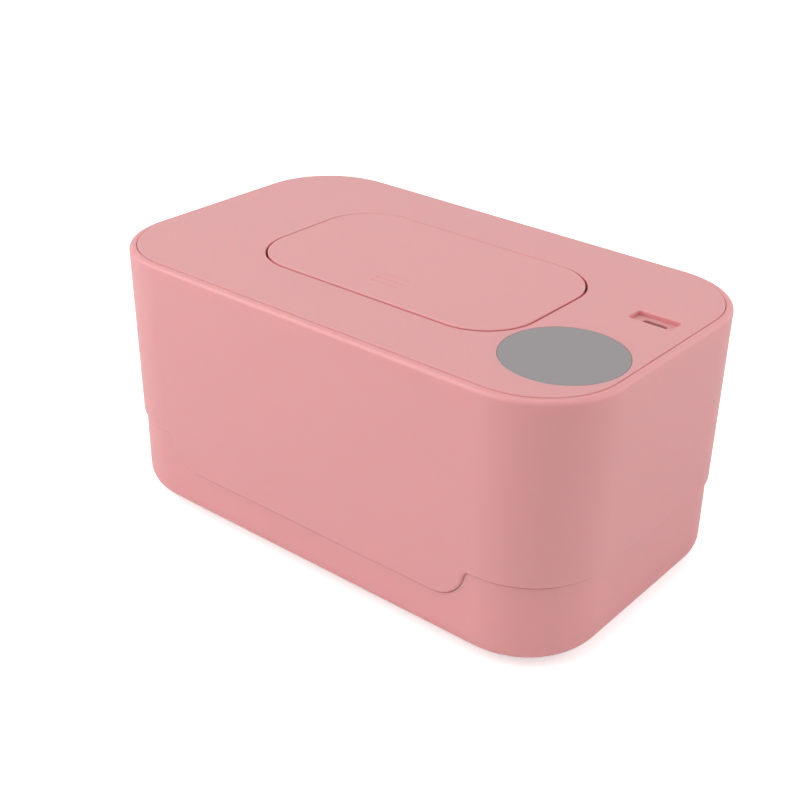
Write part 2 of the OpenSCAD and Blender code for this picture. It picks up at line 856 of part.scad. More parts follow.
// Heater
module heater_frame() {
    guard_half_l = heater_l / 2 + guard_gap + guard_t;
    guard_half_w = heater_w / 2 + guard_gap + guard_t;
    guard_corner = heater_corner + guard_gap + guard_t;
    color(deep_pink) difference() {
        union() {
            slab(frame_half_l, frame_half_w, frame_corner, frame_z, frame_top_z);
            difference() {
                slab(frame_half_l, frame_half_w, frame_corner, frame_z, frame_top_z + frame_rim_h);
                slab(frame_half_l - frame_rim_t, frame_half_w - frame_rim_t, frame_corner - frame_rim_t,
                    frame_top_z, frame_top_z + frame_rim_h + overrun);
            }
            slab(guard_half_l, guard_half_w, guard_corner, frame_z, frame_top_z + guard_h);
            at_posts() translate([0, 0, frame_z]) cylinder(d = frame_boss_d, h = frame_boss_h);
        }
        slab(heater_l / 2 + guard_gap, heater_w / 2 + guard_gap, heater_corner + guard_gap,
            frame_top_z, frame_top_z + guard_h + overrun);
        slab(heater_l / 2 - frame_seat, heater_w / 2 - frame_seat, heater_corner - frame_seat,
            frame_z - overrun, frame_top_z + overrun);
        at_posts() {
            translate([0, 0, frame_z - overrun]) cylinder(d = head_recess_d, h = head_recess_h + overrun);
            translate([0, 0, frame_z]) cylinder(r = screw_d / 2 + seat_fit, h = frame_boss_h + overrun);
        }
    }
}

module frame_screws() {
    color(steel) at_posts() translate([0, 0, frame_z + head_recess_h])
        screw(screw_d, screw_l, screw_head_d, screw_head_h);
}

module heater_plate() {
    color("silver") difference() {
        slab(heater_l / 2, heater_w / 2, heater_corner, frame_top_z, heater_top_z);
        stadium_slab(throat_l, throat_w, frame_z, heater_top_z + overrun);
    }
}

// A layer over the heater plate, cut clear of the throat's collar
module heater_layer(z0, z1) {
    difference() {
        slab(heater_l / 2 - film_inset, heater_w / 2 - film_inset, heater_corner - film_inset, z0, z1);
        stadium_slab(throat_l + 2 * (collar_wall + collar_clear), throat_w + 2 * (collar_wall + collar_clear),
            z0 - overrun, z1 + overrun);
    }
}

module heating_film() {
    color("#c9752e") heater_layer(heater_top_z, film_top_z);
}

module heater_insulation() {
    color("#e9e9e4") difference() {
        heater_layer(film_top_z, foam_top_z);
        translate([sensor_x, sensor_y, heater_top_z]) cylinder(r = sensor_hole_r, h = foam_t + overrun);
        translate([fuse_x, fuse_y, heater_top_z])
            linear_extrude(height = foam_t + overrun) square([fuse_hole_l, fuse_hole_w], center = true);
        for (k = [0, 1]) translate([lead_x - lead_run, lead_y + k * lead_pitch, heater_top_z])
            cylinder(r = 2 * lead_r, h = foam_t + overrun);
    }
}

module thermistor() {
    color(dark) translate([sensor_x, sensor_y, film_top_z]) cylinder(r = sensor_r, h = sensor_h);
}

module thermal_fuse() {
    color(steel) translate([fuse_x - fuse_l / 2, fuse_y, film_top_z + fuse_r + fuse_lift])
        rotate([0, 90, 0]) cylinder(r = fuse_r, h = fuse_l);
}

// A lead that rises from x0, z0, runs along x above the foam, and rises again to z1 at x1
module lead(x0, x1, y, z0, z1, r) {
    run_z = foam_top_z + r;
    bend = min(lead_bend, (z1 - run_z) / 2);
    turn_in = [for (a = [0:30:90]) [x0 + bend - bend * cos(a), y, run_z - bend + bend * sin(a)]];
    turn_up = [for (a = [0:30:90]) [x1 - bend + bend * sin(a), y, run_z + bend - bend * cos(a)]];
    wire(concat([[x0, y, z0]], turn_in, turn_up, [[x1, y, z1]]), r);
}

module heater_leads() {
    color("#b03030") for (k = [0, 1])
        lead(lead_x - lead_run, lead_x, lead_y + k * lead_pitch, film_top_z, board_z, lead_r);
}

module sensor_leads() {
    color("#e8e8e8") for (k = [-1, 1])
        lead(sensor_x, thin_lead_x, sensor_y + k * sensor_r / 2, film_top_z + sensor_h, board_z, thin_lead_r);
}

// Dispensing membrane
module dispensing_membrane() {
    neck_l = throat_l - 2 * seat_fit;
    neck_w = throat_w - 2 * seat_fit;
    color(milky) difference() {
        union() {
            stadium_slab(neck_l + 2 * membrane_flange, neck_w + 2 * membrane_flange,
                well_floor_z, membrane_top_z);
            stadium_slab(neck_l, neck_w, well_floor_z - membrane_neck, membrane_top_z);
        }
        stadium_slab(neck_l - 2 * membrane_neck_wall, neck_w - 2 * membrane_neck_wall,
            well_floor_z - membrane_neck - overrun, membrane_top_z - membrane_skin);
        stadium_slab(slit_l, slit_w, well_floor_z - overrun, membrane_top_z + overrun);
        for (k = [-1, 0, 1]) translate([k * slit_l / 4, 0, 0]) rotate([0, 0, 90])
            stadium_slab(cross_slit_l, cross_slit_w, well_floor_z - overrun, membrane_top_z + overrun);
    }
}

// Hinge
module hinge_pin() {
    color(steel) translate([-pin_l / 2, axis_y, axis_z]) rotate([0, 90, 0]) cylinder(d = pin_d, h = pin_l);
}

// Coils on the pin. One leg slants down to the well's wall, and the other hooks behind the arm's strut.
module lid_spring() {
    start = 135;
    steps = 12 * spring_turns;
    turns = [for (i = [0:steps]) let (a = start - (360 * spring_turns + start) * i / steps)
        [spring_r * cos(a), spring_r * sin(a), spring_l * i / steps]];
    wall_y = -axis_back + well_wall + spring_wire / 2 + screw_fit;
    wall_leg = [[wall_y, spring_r * sqrt(2) + wall_y, 0]];
    strut_leg = [[spring_r, -spring_leg, spring_l], [spring_r, -spring_leg, arm_x - spring_x]];
    color(steel) translate([spring_x, axis_y, axis_z]) rotate([90, 0, 90])
        wire(concat(wall_leg, turns, strut_leg), spring_wire / 2);
}

// Push latch
module latch_case() {
    color(milky) translate([0, latch_y, 0]) difference() {
        union() {
            translate([0, 0, latch_bottom_z]) cylinder(r = latch_bore_r + latch_wall, h = latch_case_h + lap);
            translate([0, 0, well_floor_z]) cylinder(r = latch_flange_r, h = latch_flange_t);
        }
        translate([0, 0, latch_seat_z]) cylinder(r = latch_bore_r, h = latch_case_h + overrun);
    }
}

module latch_plunger() {
    color(deep_pink) translate([0, latch_y, plunger_z]) difference() {
        cylinder(r = plunger_r, h = plunger_h);
        translate([0, 0, plunger_base]) cylinder(r = plunger_bore_r, h = plunger_h);
        translate([-plunger_r - overrun, -plunger_slot / 2, 2 * plunger_base])
            cube([2 * (plunger_r + overrun), plunger_slot, plunger_h]);
        translate([-hook_groove_w / 2, -plunger_r - overrun, -overrun])
            cube([hook_groove_w, plunger_r + overrun - hook_groove_in, plunger_h + 2 * overrun]);
    }
}

module latch_spring() {
    half_wire = latch_wire / 2;
    color(steel) translate([0, latch_y, 0])
        wire(coil(latch_spring_r, latch_seat_z + half_wire, plunger_z - half_wire, latch_turns), half_wire);
}

module latch_hook_pin() {
    color(steel) translate([0, latch_y - hook_place_r, latch_seat_z]) cylinder(r = hook_r, h = hook_l);
}

// Lid
module flip_lid() {
    color(pink) translate([0, lid_y, 0]) difference() {
        panel(lid_l / 2, lid_w / 2, lid_r, lid_under_z, plate_top, lid_fillet);
        for (k = [0:mark_count - 1])
            translate([0, -mark_back - (k - (mark_count - 1) / 2) * mark_pitch, 0])
                stadium_slab(mark_l, mark_w, plate_top - mark_depth, plate_top + overrun);
    }
}

// The swan neck: a round arm under the plate's edge, a strut to the axis, and a barrel on the pin
module hinge_arm() {
    difference() {
        translate([axis_y, axis_z]) {
            intersection() {
                difference() {
                    circle(arm_out);
                    circle(arm_in);
                }
                translate([-arm_out - overrun, -arm_out - overrun])
                    square([arm_out + overrun + strut_back, arm_out + overrun + lid_under_z - axis_z]);
            }
            translate([-strut_front, -arm_in - arm_t / 2])
                square([strut_front + strut_back, arm_in + arm_t / 2]);
            circle(d = barrel_d);
        }
        translate([axis_y, axis_z]) circle(r = pin_d / 2 + pin_fit);
    }
}

module lid_inner() {
    color(deep_pink) {
        difference() {
            translate([0, lid_y, 0]) slab(inner_half_l, inner_half_w, inner_corner, inner_z, lid_under_z);
            gasket_ring(inner_z - overrun, inner_z + gasket_sink);
        }
        for (s = [-1, 1]) along(s * arm_x, arm_w) hinge_arm();
        translate([0, latch_y, inner_z - striker_l]) {
            cylinder(r = striker_r, h = striker_l + inner_t / 2);
            cylinder(r = striker_head_r, h = striker_head_h);
        }
    }
}

module gasket_ring(z0, z1) {
    difference() {
        stadium_slab(gasket_l + gasket_w, gasket_across + gasket_w, z0, z1);
        stadium_slab(gasket_l - gasket_w, gasket_across - gasket_w, z0 - overrun, z1 + overrun);
    }
}

module lid_gasket() {
    color(milky) gasket_ring(membrane_top_z + gasket_clear, inner_z + gasket_sink);
}

base_tray();
rubber_feet();
outer_shell();
top_cover();
hatch_well();
throat_sleeve();
cover_screws();
display_lens();
led_display();
touch_spring();
control_board();
board_parts();
board_screws();
usb_socket();
heater_frame();
frame_screws();
heater_plate();
heating_film();
heater_insulation();
thermistor();
thermal_fuse();
heater_leads();
sensor_leads();
dispensing_membrane();
hinge_pin();
lid_spring();
latch_case();
latch_plunger();
latch_spring();
latch_hook_pin();
flip_lid();
lid_inner();
lid_gasket();
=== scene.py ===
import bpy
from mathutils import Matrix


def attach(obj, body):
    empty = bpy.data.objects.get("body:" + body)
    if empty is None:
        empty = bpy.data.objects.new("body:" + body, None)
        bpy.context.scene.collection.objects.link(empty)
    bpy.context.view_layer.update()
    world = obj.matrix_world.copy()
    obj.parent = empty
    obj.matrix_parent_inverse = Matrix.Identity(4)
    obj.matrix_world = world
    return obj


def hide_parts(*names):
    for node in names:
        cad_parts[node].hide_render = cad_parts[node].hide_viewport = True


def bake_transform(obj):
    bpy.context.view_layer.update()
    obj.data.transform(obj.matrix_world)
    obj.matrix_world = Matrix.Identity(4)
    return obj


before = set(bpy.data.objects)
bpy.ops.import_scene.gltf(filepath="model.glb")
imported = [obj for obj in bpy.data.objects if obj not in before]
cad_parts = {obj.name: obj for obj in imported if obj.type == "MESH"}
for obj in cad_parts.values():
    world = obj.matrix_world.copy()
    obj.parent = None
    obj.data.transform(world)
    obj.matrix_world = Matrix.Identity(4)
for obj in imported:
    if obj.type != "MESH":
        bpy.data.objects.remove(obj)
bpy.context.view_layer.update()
import math

import bmesh
import bpy
from mathutils import Matrix, Vector

bl_info = {
    "name": "Wipe warmer",
    "version": (1, 0, 0),
    "blender": (4, 5, 0),
    "location": "View3D > Sidebar > Wipe warmer",
    "description": "Builds a pink wipe warmer round its frame, piece by piece, and a studio",
    "category": "Add Mesh",
}

MM = 0.001
MERGE = 0.001 * MM
SHARP_ANGLE = math.radians(32)
SOFT_ANGLE = math.radians(34)
FLAT_ANGLE = math.radians(1)

# Faces in a quarter turn
CORNER_STEPS = 18
ROUND_STEPS = 6
DISC_STEPS = 28
FOOT_STEPS = 14
RECESS_STEPS = 12
POST_STEPS = 8

# Places on the table's plane, in millimetres. A lug also has the way to its wall, in degrees.
LUGS = ((-82, -42, 225), (-82, 42, 135), (82, 42, 45), (58, -50.5, 270), (0, 50.5, 90))
CEILING_POSTS = [(x, y) for x in (-57, 57) for y in (-41, 41)]
BOARD_POSTS = ((66.5, 20.5), (89.5, -1.5), (66.5, -1.5))
FEET = [(x, y) for x in (-74, 74) for y in (-38, 38)]

# How deep a solid reaches into the one that it is joined to
ROOT = 0.4 * MM

# Ledge and lugs inside the shell
LEDGE_THICK = 2.4 * MM
LEDGE_SOFT = 0.3 * MM
RIM_SOFT = 0.3 * MM
LUG_R = 4.5 * MM
LUG_WALL = 2.7 * MM
LUG_LOW, LUG_HIGH = 86 * MM, 90 * MM
WEB_W = 7.8 * MM
WEB_NEAR = 4.2 * MM
WEB_FAR_SIDE, WEB_FAR_CORNER = 8 * MM, 11 * MM

# Tray and feet
TRAY_SOFT = 0.35 * MM
LIP_SOFT = 0.5 * MM
FOOT_RECESS = 0.8 * MM
FOOT_PLAY = 0.3 * MM
FOOT_SOFT = 1.0 * MM
FOOT_DISH = [(2.6 * MM, 0.2 * MM), (2.2 * MM, 0.0)]

# Under the top plate: the disc's seat and the port's pocket, and the posts in millimetres, as
# outer radius, bore and height of the foot
SEAT_DROP = 2.6 * MM
SEAT_THICK = 1.2 * MM
SEAT_WALL = 0.7 * MM
SEAT_REACH = 2.9 * MM
SEAT_STEP = 0.05 * MM
DISC_HOLE_SOFT = 0.1 * MM
POCKET_SOFT = 0.6 * MM
POCKET_WALL = 1.2 * MM
SLOT_HALF_L, SLOT_HALF_W = 4.53 * MM, 1.64 * MM
SLOT_SOFT = 0.2 * MM
LUG_POST = (3.5, 1.55, 90.0)
CEILING_POST = (3.25, 1.55, 76.0)
BOARD_POST = (2.75, 1.15, 84.9)

# Hatch: its lower edge, and its grooves, whose section is given as inset and depth in millimetres
HATCH_SOFT = 0.25 * MM
GROOVE_HALF_L, GROOVE_HALF_W = 6 * MM, 0.75 * MM
GROOVE_Y, GROOVE_PITCH = -16.6, 3.2
GROOVE_DEPTHS = ((0.0, 0.0), (0.15, 0.06), (0.35, 0.22), (0.55, 0.3), (0.7, 0.32))

# Disc: its edge and the skirt under it
DISC_SOFT = 0.25 * MM
SKIRT_OUT, SKIRT_IN = 2.2 * MM, 3.8 * MM
SKIRT_DEEP = 2.9 * MM

# Socket: its softened edges, and its mouth, which lies below the pocket's floor
SOCKET_SOFT = 0.06 * MM
MOUTH_RIM = 1.5 * MM
MOUTH_SUNK = 0.9 * MM

# Camera, fitted to the object's outline in the photograph: angles in degrees, lengths in
# millimetres, focal length and shifts in pixels of its frame
CAMERA_AZIMUTH, CAMERA_ELEVATION, CAMERA_ROLL = 36.957, 28.473, 2.078
CAMERA_DISTANCE = 485.804
CAMERA_RIGHT, CAMERA_DOWN = 12.466, 10.758
CAMERA_AIM = 51.4
FRAME = 800
FOCAL = 1353.408
SHIFT_X, SHIFT_Y = -53.795, 17.615
SENSOR = 36.0

# Lamps: name, azimuth, elevation, distance, size and the setting that holds the power
LAMPS = (
    ("Key box", -40, 32, 1.1, 0.9, "key"),
    ("Side box", 112, 30, 1.1, 0.8, "side"),
    ("Overhead box", 20, 82, 1.2, 1.0, "overhead"),
    ("Back box", 150, 12, 1.1, 0.9, "back"),
)
LAMP_AIM = 50 * MM
FLOOR_HALF = 4.0
FLOOR_NEAR, FLOOR_FAR = 0.3, 1.2

# Painted glow in the gaps: how far the pink plastic looks for a wall close by, and the share of
# open sky from which on no red glow is painted on it
GAP_REACH = 1.5 * MM
GAP_OPEN = 0.6

# Size of the slow changes over a moulded surface, and how far its roughness changes with them
PATCH = 28 * MM
GLOSS_CHANGE = 0.02


# Numbers and colours

def linear(hex_colour):
    """Turns an sRGB hex colour into linear red, green and blue."""
    shares = [int(hex_colour[i:i + 2], 16) / 255 for i in (1, 3, 5)]
    return tuple(c / 12.92 if c <= 0.04045 else ((c + 0.055) / 1.055) ** 2.4 for c in shares)


def length(name, default_mm, description):
    """A length property whose default is given in millimetres."""
    return bpy.props.FloatProperty(
        name=name, description=description, default=default_mm * MM, min=0.0,
        unit="LENGTH", subtype="DISTANCE", precision=5)


def colour(name, default, description):
    """A colour property whose default is an sRGB hex colour."""
    return bpy.props.FloatVectorProperty(
        name=name, description=description, default=linear(default), min=0.0, max=1.0,
        size=3, subtype="COLOR")


def share(name, default, description, top=1.0):
    """A plain factor."""
    return bpy.props.FloatProperty(
        name=name, description=description, default=default, min=0.0, max=top, subtype="FACTOR")


def level(name, default, description):
    """The power of a lamp."""
    return bpy.props.FloatProperty(
        name=name, description=description, default=default, min=0.0, unit="POWER",
        subtype="POWER")


class BodySizes(bpy.types.PropertyGroup):
    """Sizes of the shell and the tray."""
    half_l: length("Half length", 100, "Half the length over the rim")
    half_w: length("Half width", 60, "Half the width over the rim")
    corner: length("Corner", 30.4, "Corner radius in plan")
    rim_top: length("Rim", 97.6, "Height of the rim")
    rim_round: length("Rim round", 1.6, "Radius round the rim")
    wall: length("Wall", 2.6, "Thickness of the shell's wall at the rim")
    seam: length("Seam", 32.8, "Height of the shell's lower edge")
    edge_round: length("Edge round", 1.3, "Radius round the shell's lower edge")
    lean: length("Lean", 0.6, "How far the wall leans in between rim and seam")
    tongue_half: length("Tongue half width", 66.6, "Half the width of the tongue")
    tongue_drop: length("Tongue drop", 12.7, "How far the tongue reaches below the seam")
    tongue_corner: length("Tongue corner", 13.1, "Radius of the tongue's corners")
    tongue_flare: length("Tongue flare", 2.5, "Radius between the tongue and the seam")
    ledge: length("Ledge", 3.4, "Width of the ledge that carries the top plate")
    tray_step: length("Tray step", 0.86, "How far the tray stands back from the shell")
    tray_fillet: length("Tray fillet", 7.6, "Radius round the tray's lower edge")
    tray_floor: length("Tray floor", 2.4, "Thickness of the tray's floor")
    seam_gap: length("Seam gap", 0.15, "Gap between shell and tray")
    lip: length("Lip", 1.6, "Thickness of the tray's lip")
    lip_rise: length("Lip rise", 6.0, "Height of the lip above the seam")
    lip_slip: length("Lip slip", 0.35, "Play of the lip inside the shell")
    foot_h: length("Foot height", 2.4, "Height that the feet hold the tray off the table")
    foot_r: length("Foot radius", 6.0, "Radius of a foot")


class TopSizes(bpy.types.PropertyGroup):
    """Sizes of the top plate and what is set into it."""
    top: length("Top", 98, "Height of the hatch's face")
    plate: length("Plate", 2.0, "Thickness of the hatch's skin")
    hatch_proud: length("Hatch proud", 0.2, "Height of the hatch above the plate")
    plate_inset: length("Plate inset", 2.78, "Distance from the rim's outside to the plate")
    plate_round: length("Plate round", 0.35, "Radius round the plate's edge")
    hatch_l: length("Hatch half length", 54.3, "Half the length of the hatch")
    hatch_w: length("Hatch half width", 32.0, "Half the width of the hatch")
    hatch_corner: length("Hatch corner", 19.5, "Corner radius of the hatch")
    hatch_round: length("Hatch round", 0.4, "Radius round the hatch's top edge")
    hatch_gap: length("Hatch gap", 0.8, "Gap round the hatch")
    hatch_y: length("Hatch offset", 1.0, "How far the hatch lies behind the middle")
    mouth_round: length("Mouth round", 0.3, "Radius round the edge of the hatch's opening")
    disc_r: length("Disc radius", 20.3, "Radius of the display disc")
    disc_x: length("Disc place", 75.3, "Distance of the disc from the middle, to the right")
    disc_y: length("Disc offset", 24.7, "Distance of the disc from the middle, to the front")
    port_l: length("Port half length", 7.9, "Half the length of the port's pocket")
    port_w: length("Port half width", 3.7, "Half the width of the port's pocket")
    disc_gap: length("Disc gap", 0.1, "Gap round the disc")
    port_r: length("Port corner", 1.1, "Radius of the pocket's corners")
    port_x: length("Port place", 82.65, "Distance of the port from the middle, to the right")
    port_y: length("Port offset", 16.3, "Distance of the port from the middle, to the back")


class FinishSettings(bpy.types.PropertyGroup):
    """Colours and roughness of the visible finishes."""
    pink: colour("Pink", "#df9899", "Outer pink plastic")
    # Painted glow: a deeper red painted into gaps, in place of light coming through the plastic
    painted_gap_glow: colour("Painted gap glow", "#fc7575", "Red glow painted into the gaps of the outer pink plastic")
    inner_pink: colour("Inner pink", "#d68f90", "Pink plastic of the inner parts")
    grey: colour("Disc grey", "#8d8788", "Display disc")
    silicone: colour("Silicone", "#eadfd9", "Silicone of the slit and the seal")
    pink_rough: share("Pink roughness", 0.46, "Roughness of the outer pink plastic")
    grey_rough: share("Disc roughness", 0.5, "Roughness of the display disc")


class StageSettings(bpy.types.PropertyGroup):
    """Lamps, world and floor."""
    key: level("Key", 6.95, "Soft box at the front left")
    side: level("Side", 3.0, "Soft box at the right")
    overhead: level("Overhead", 3.35, "Soft box overhead")
    back: level("Back", 1.8, "Soft box behind")
    world: share("World", 0.40, "Light from all round", 4.0)
    floor_lift: share("Floor lift", 0.5, "How much the floor is lightened for the camera")
    floor: colour("Floor", "#fafafa", "Floor")


# Outlines and sections

def rounded(half_l, half_w, radius, centre=(0.0, 0.0), steps=CORNER_STEPS):
    """A rounded rectangle, as a function that gives its points at some distance inside it."""
    def at(inset):
        r = radius - inset
        points = []
        for quarter, (side_x, side_y) in enumerate(((1, 1), (-1, 1), (-1, -1), (1, -1))):
            straight = half_l - radius if quarter in (1, 3) else half_w - radius
            for k in range(0 if straight > MERGE else 1, steps + 1):
                angle = (quarter + k / steps) * math.pi / 2
                points.append((centre[0] + side_x * (half_l - radius) + r * math.cos(angle),
                               centre[1] + side_y * (half_w - radius) + r * math.sin(angle)))
        return points
    return at


def disc(radius, centre=(0.0, 0.0), steps=DISC_STEPS):
    """A circle, as a function of the same kind."""
    return rounded(radius, radius, radius, centre, steps)


def arc(x, z, radius, start, end, steps=ROUND_STEPS):
    """Points on an arc, with angles in degrees."""
    angles = [math.radians(start + (end - start) * k / steps) for k in range(steps + 1)]
    return [(x + radius * math.cos(a), z + radius * math.sin(a)) for a in angles]


def first_loop(bm, points):
    """Lays a circle's vertices on the points."""
    verts = bmesh.ops.create_circle(bm, segments=len(points), radius=MM)["verts"]
    for vert, point in zip(verts, points):
        vert.co = point
    return verts


def loop_edges(bm, loop):
    return [bm.edges.get(pair) for pair in zip(loop, loop[1:] + loop[:1])]


def next_loop(bm, loop, points):
    """Extrudes a loop and moves the new one on to the points."""
    made = bmesh.ops.extrude_edge_only(bm, edges=loop_edges(bm, loop))["geom"]
    new = {v for v in made if isinstance(v, bmesh.types.BMVert)}
    lifted = [next(e.other_vert(v) for e in v.link_edges if e.other_vert(v) in new) for v in loop]
    for vert, point in zip(lifted, points):
        vert.co = point
    return lifted


def carry(bm, outline, section, closed=False):
    """Carries a section of (inset, height) round an outline. Returns its first and last loop."""
    section = section + section[:1] if closed else section
    loops = []
    for inset, z in section:
        points = [(x, y, z) for x, y in outline(inset)]
        loops.append(next_loop(bm, loops[-1], points) if loops else first_loop(bm, points))
    return loops[0], loops[-1]


def fill(bm, *loops):
    """Fills the flat area between loops."""
    if len(loops) == 1:
        bm.faces.new(loops[0])
        return
    edges = [e for loop in loops for e in loop_edges(bm, loop)]
    bmesh.ops.triangle_fill(bm, edges=edges, use_beauty=True)


def closed_section(bm, outline, section):
    """A solid ring whose section is closed."""
    carry(bm, outline, section, closed=True)


def solid(bm, outline, section):
    """A solid block: a section carried round, with both its ends filled."""
    for loop in carry(bm, outline, section):
        fill(bm, loop)


def in_order(parts, key):
    """Sorts vertices, edges or faces, so that they come out the same each run."""
    rank = {part: k for k, part in enumerate(sorted(parts, key=key))}
    parts.sort(key=rank.get)
    parts.index_update()


def tidy_mesh(bm):
    bmesh.ops.remove_doubles(bm, verts=bm.verts, dist=MERGE)
    bmesh.ops.dissolve_degenerate(bm, edges=bm.edges, dist=MERGE)
    in_order(bm.verts, lambda vert: vert.co[:])
    for parts in (bm.edges, bm.faces):
        in_order(parts, lambda part: sorted(vert.index for vert in part.verts))
    bmesh.ops.recalc_face_normals(bm, faces=bm.faces)


def mesh_object(bm, name):
    mesh = bpy.data.meshes.new(name)
    bm.to_mesh(mesh)
    bm.free()
    made = bpy.data.objects.new(name, mesh)
    bpy.context.scene.collection.objects.link(made)
    return made


def combine(bm, other, operation):
    """Takes the other solids out of the piece, or joins them to it."""
    for part in (bm, other):
        tidy_mesh(part)
    body, tool = mesh_object(bm, "body"), mesh_object(other, "tool")
    boolean = body.modifiers.new("Combine", "BOOLEAN")
    boolean.object = tool
    boolean.operation = operation
    boolean.solver = "EXACT"
    boolean.use_self = operation == "UNION"
    evaluated = body.evaluated_get(bpy.context.evaluated_depsgraph_get())
    result = bmesh.new()
    result.from_mesh(evaluated.to_mesh())
    evaluated.to_mesh_clear()
    for used in (body, tool):
        mesh = used.data
        bpy.data.objects.remove(used)
        bpy.data.meshes.remove(mesh)
    if not result.faces:
        raise RuntimeError("nothing is left of a piece")
    return result


def piece(bm, name, body, nodes, finish):
    """Makes the finished piece: smooth where round, sharp at its edges, and riding on its body."""
    tidy_mesh(bm)
    for face in bm.faces:
        face.smooth = True
    for edge in bm.edges:
        edge.smooth = len(edge.link_faces) != 2 or edge.calc_face_angle(0.0) < SHARP_ANGLE
    made = mesh_object(bm, name)
    made.data.materials.append(finish)
    settle(made, body, nodes)
    return made


def settle(made, body, nodes):
    """Keeps flat faces flat, and says what the piece rides on and which nodes it replaces."""
    normals = made.modifiers.new("Flat faces stay flat", "WEIGHTED_NORMAL")
    normals.keep_sharp = True
    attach(made, body)
    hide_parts(*nodes)


def merged_copy(node):
    """A node's mesh with its loose triangles joined."""
    bm = bmesh.new()
    bm.from_mesh(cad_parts[node].data)
    bmesh.ops.remove_doubles(bm, verts=bm.verts, dist=MERGE)
    return bm


def softened(node, name, body, finish, width):
    """A copy of a node with its sharp edges rounded."""
    bm = merged_copy(node)
    bmesh.ops.dissolve_limit(
        bm, angle_limit=FLAT_ANGLE, verts=bm.verts, edges=bm.edges,
        use_dissolve_boundaries=False, delimit=set())
    for face in bm.faces:
        face.smooth = True
    for edge in bm.edges:
        edge.smooth = True
    made = mesh_object(bm, name)
    made.data.materials.append(finish)
    soft = made.modifiers.new("Soft edges", "BEVEL")
    soft.width = width
    soft.segments = 2
    soft.limit_method = "ANGLE"
    soft.angle_limit = SOFT_ANGLE
    soft.harden_normals = False
    soft.use_clamp_overlap = True
    settle(made, body, [node])
    return made


def dress(node, finish):
    """Gives a node of the frame its material."""
    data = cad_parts[node].data
    data.materials.clear()
    data.materials.append(finish)


# Materials

def add_node(tree, kind, settings=None, **inputs):
    """Adds a node with its settings. An input takes a value or another node's socket."""
    node = tree.nodes.new(kind)
    for key, value in (settings or {}).items():
        setattr(node, key, value)
    for key, value in inputs.items():
        socket = node.inputs[int(key[1:])] if key[0] == "_" else node.inputs[key.replace("_", " ")]
        if isinstance(value, bpy.types.NodeSocket):
            tree.links.new(value, socket)
        else:
            socket.default_value = value
    return node


def new_material(name):
    made = bpy.data.materials.new(name)
    made.use_nodes = True
    made.node_tree.nodes.clear()
    return made, made.node_tree


def output(tree, shader):
    add_node(tree, "ShaderNodeOutputMaterial", Surface=shader)


def rgba(rgb, factor=1.0):
    return tuple(min(1.0, c * factor) for c in rgb) + (1.0,)


def grained(name, rgb, rough, grain, relief, spread=0.012, ior=1.5, specular=0.5,
            painted_glow_rgb=None, **sockets):
    """A moulded or drawn surface: a fine grain in relief, and slow changes of tone and gloss.

    Given a glow colour, it paints that colour where two surfaces nearly meet: painted light, in
    place of the red light that comes through the plastic into a gap.
    """
    made, tree = new_material(name)
    place = add_node(tree, "ShaderNodeTexCoord").outputs["Object"]
    fine = add_node(
        tree, "ShaderNodeTexNoise", Vector=place, Scale=1 / grain, Detail=2.0, Roughness=0.55)
    slow = add_node(
        tree, "ShaderNodeTexNoise", Vector=place, Scale=1 / PATCH, Detail=1.5)
    tone = add_node(
        tree, "ShaderNodeMix", {"data_type": "RGBA"},
        _0=slow.outputs["Fac"], _6=rgba(rgb, 1 - spread), _7=rgba(rgb, 1 + spread))
    if painted_glow_rgb:
        # Painted glow: the colour turns to the painted red where close walls shut out the sky
        clear = add_node(tree, "ShaderNodeAmbientOcclusion", {"samples": 8}, Distance=GAP_REACH)
        # A square inner corner shuts out half of the sky and keeps most of its colour
        wide = add_node(
            tree, "ShaderNodeMapRange", Value=clear.outputs["AO"], _1=0.0, _2=GAP_OPEN)
        tone = add_node(
            tree, "ShaderNodeMix", {"data_type": "RGBA"},
            _0=wide.outputs["Result"], _6=rgba(painted_glow_rgb), _7=tone.outputs[2])
    gloss = add_node(
        tree, "ShaderNodeMapRange", Value=slow.outputs["Fac"],
        _3=rough - GLOSS_CHANGE, _4=rough + GLOSS_CHANGE)
    bump = add_node(
        tree, "ShaderNodeBump", Strength=0.5, Distance=relief, Height=fine.outputs["Fac"])
    shader = add_node(
        tree, "ShaderNodeBsdfPrincipled", Base_Color=tone.outputs[2],
        Roughness=gloss.outputs["Result"], IOR=ior, Specular_IOR_Level=specular,
        Normal=bump.outputs["Normal"], **sockets)
    output(tree, shader.outputs["BSDF"])
    return made


def brushed(name, rgb, rough, spacing, stretch):
    """Metal with fine lines along one axis, as rolling or drawing leaves them."""
    made, tree = new_material(name)
    place = add_node(tree, "ShaderNodeTexCoord").outputs["Object"]
    turned = add_node(tree, "ShaderNodeMapping", Vector=place, Scale=stretch)
    lines = add_node(
        tree, "ShaderNodeTexNoise", Vector=turned.outputs["Vector"], Scale=1 / spacing, Detail=2.0)
    tone = add_node(
        tree, "ShaderNodeMix", {"data_type": "RGBA"},
        _0=lines.outputs["Fac"], _6=rgba(rgb, 0.9), _7=rgba(rgb, 1.06))
    gloss = add_node(
        tree, "ShaderNodeMapRange", Value=lines.outputs["Fac"], _3=rough - 0.06, _4=rough + 0.08)
    bump = add_node(
        tree, "ShaderNodeBump", Strength=0.25, Distance=0.01 * MM, Height=lines.outputs["Fac"])
    shader = add_node(
        tree, "ShaderNodeBsdfPrincipled", Base_Color=tone.outputs[2], Metallic=1.0,
        Roughness=gloss.outputs["Result"], Normal=bump.outputs["Normal"])
    output(tree, shader.outputs["BSDF"])
    return made


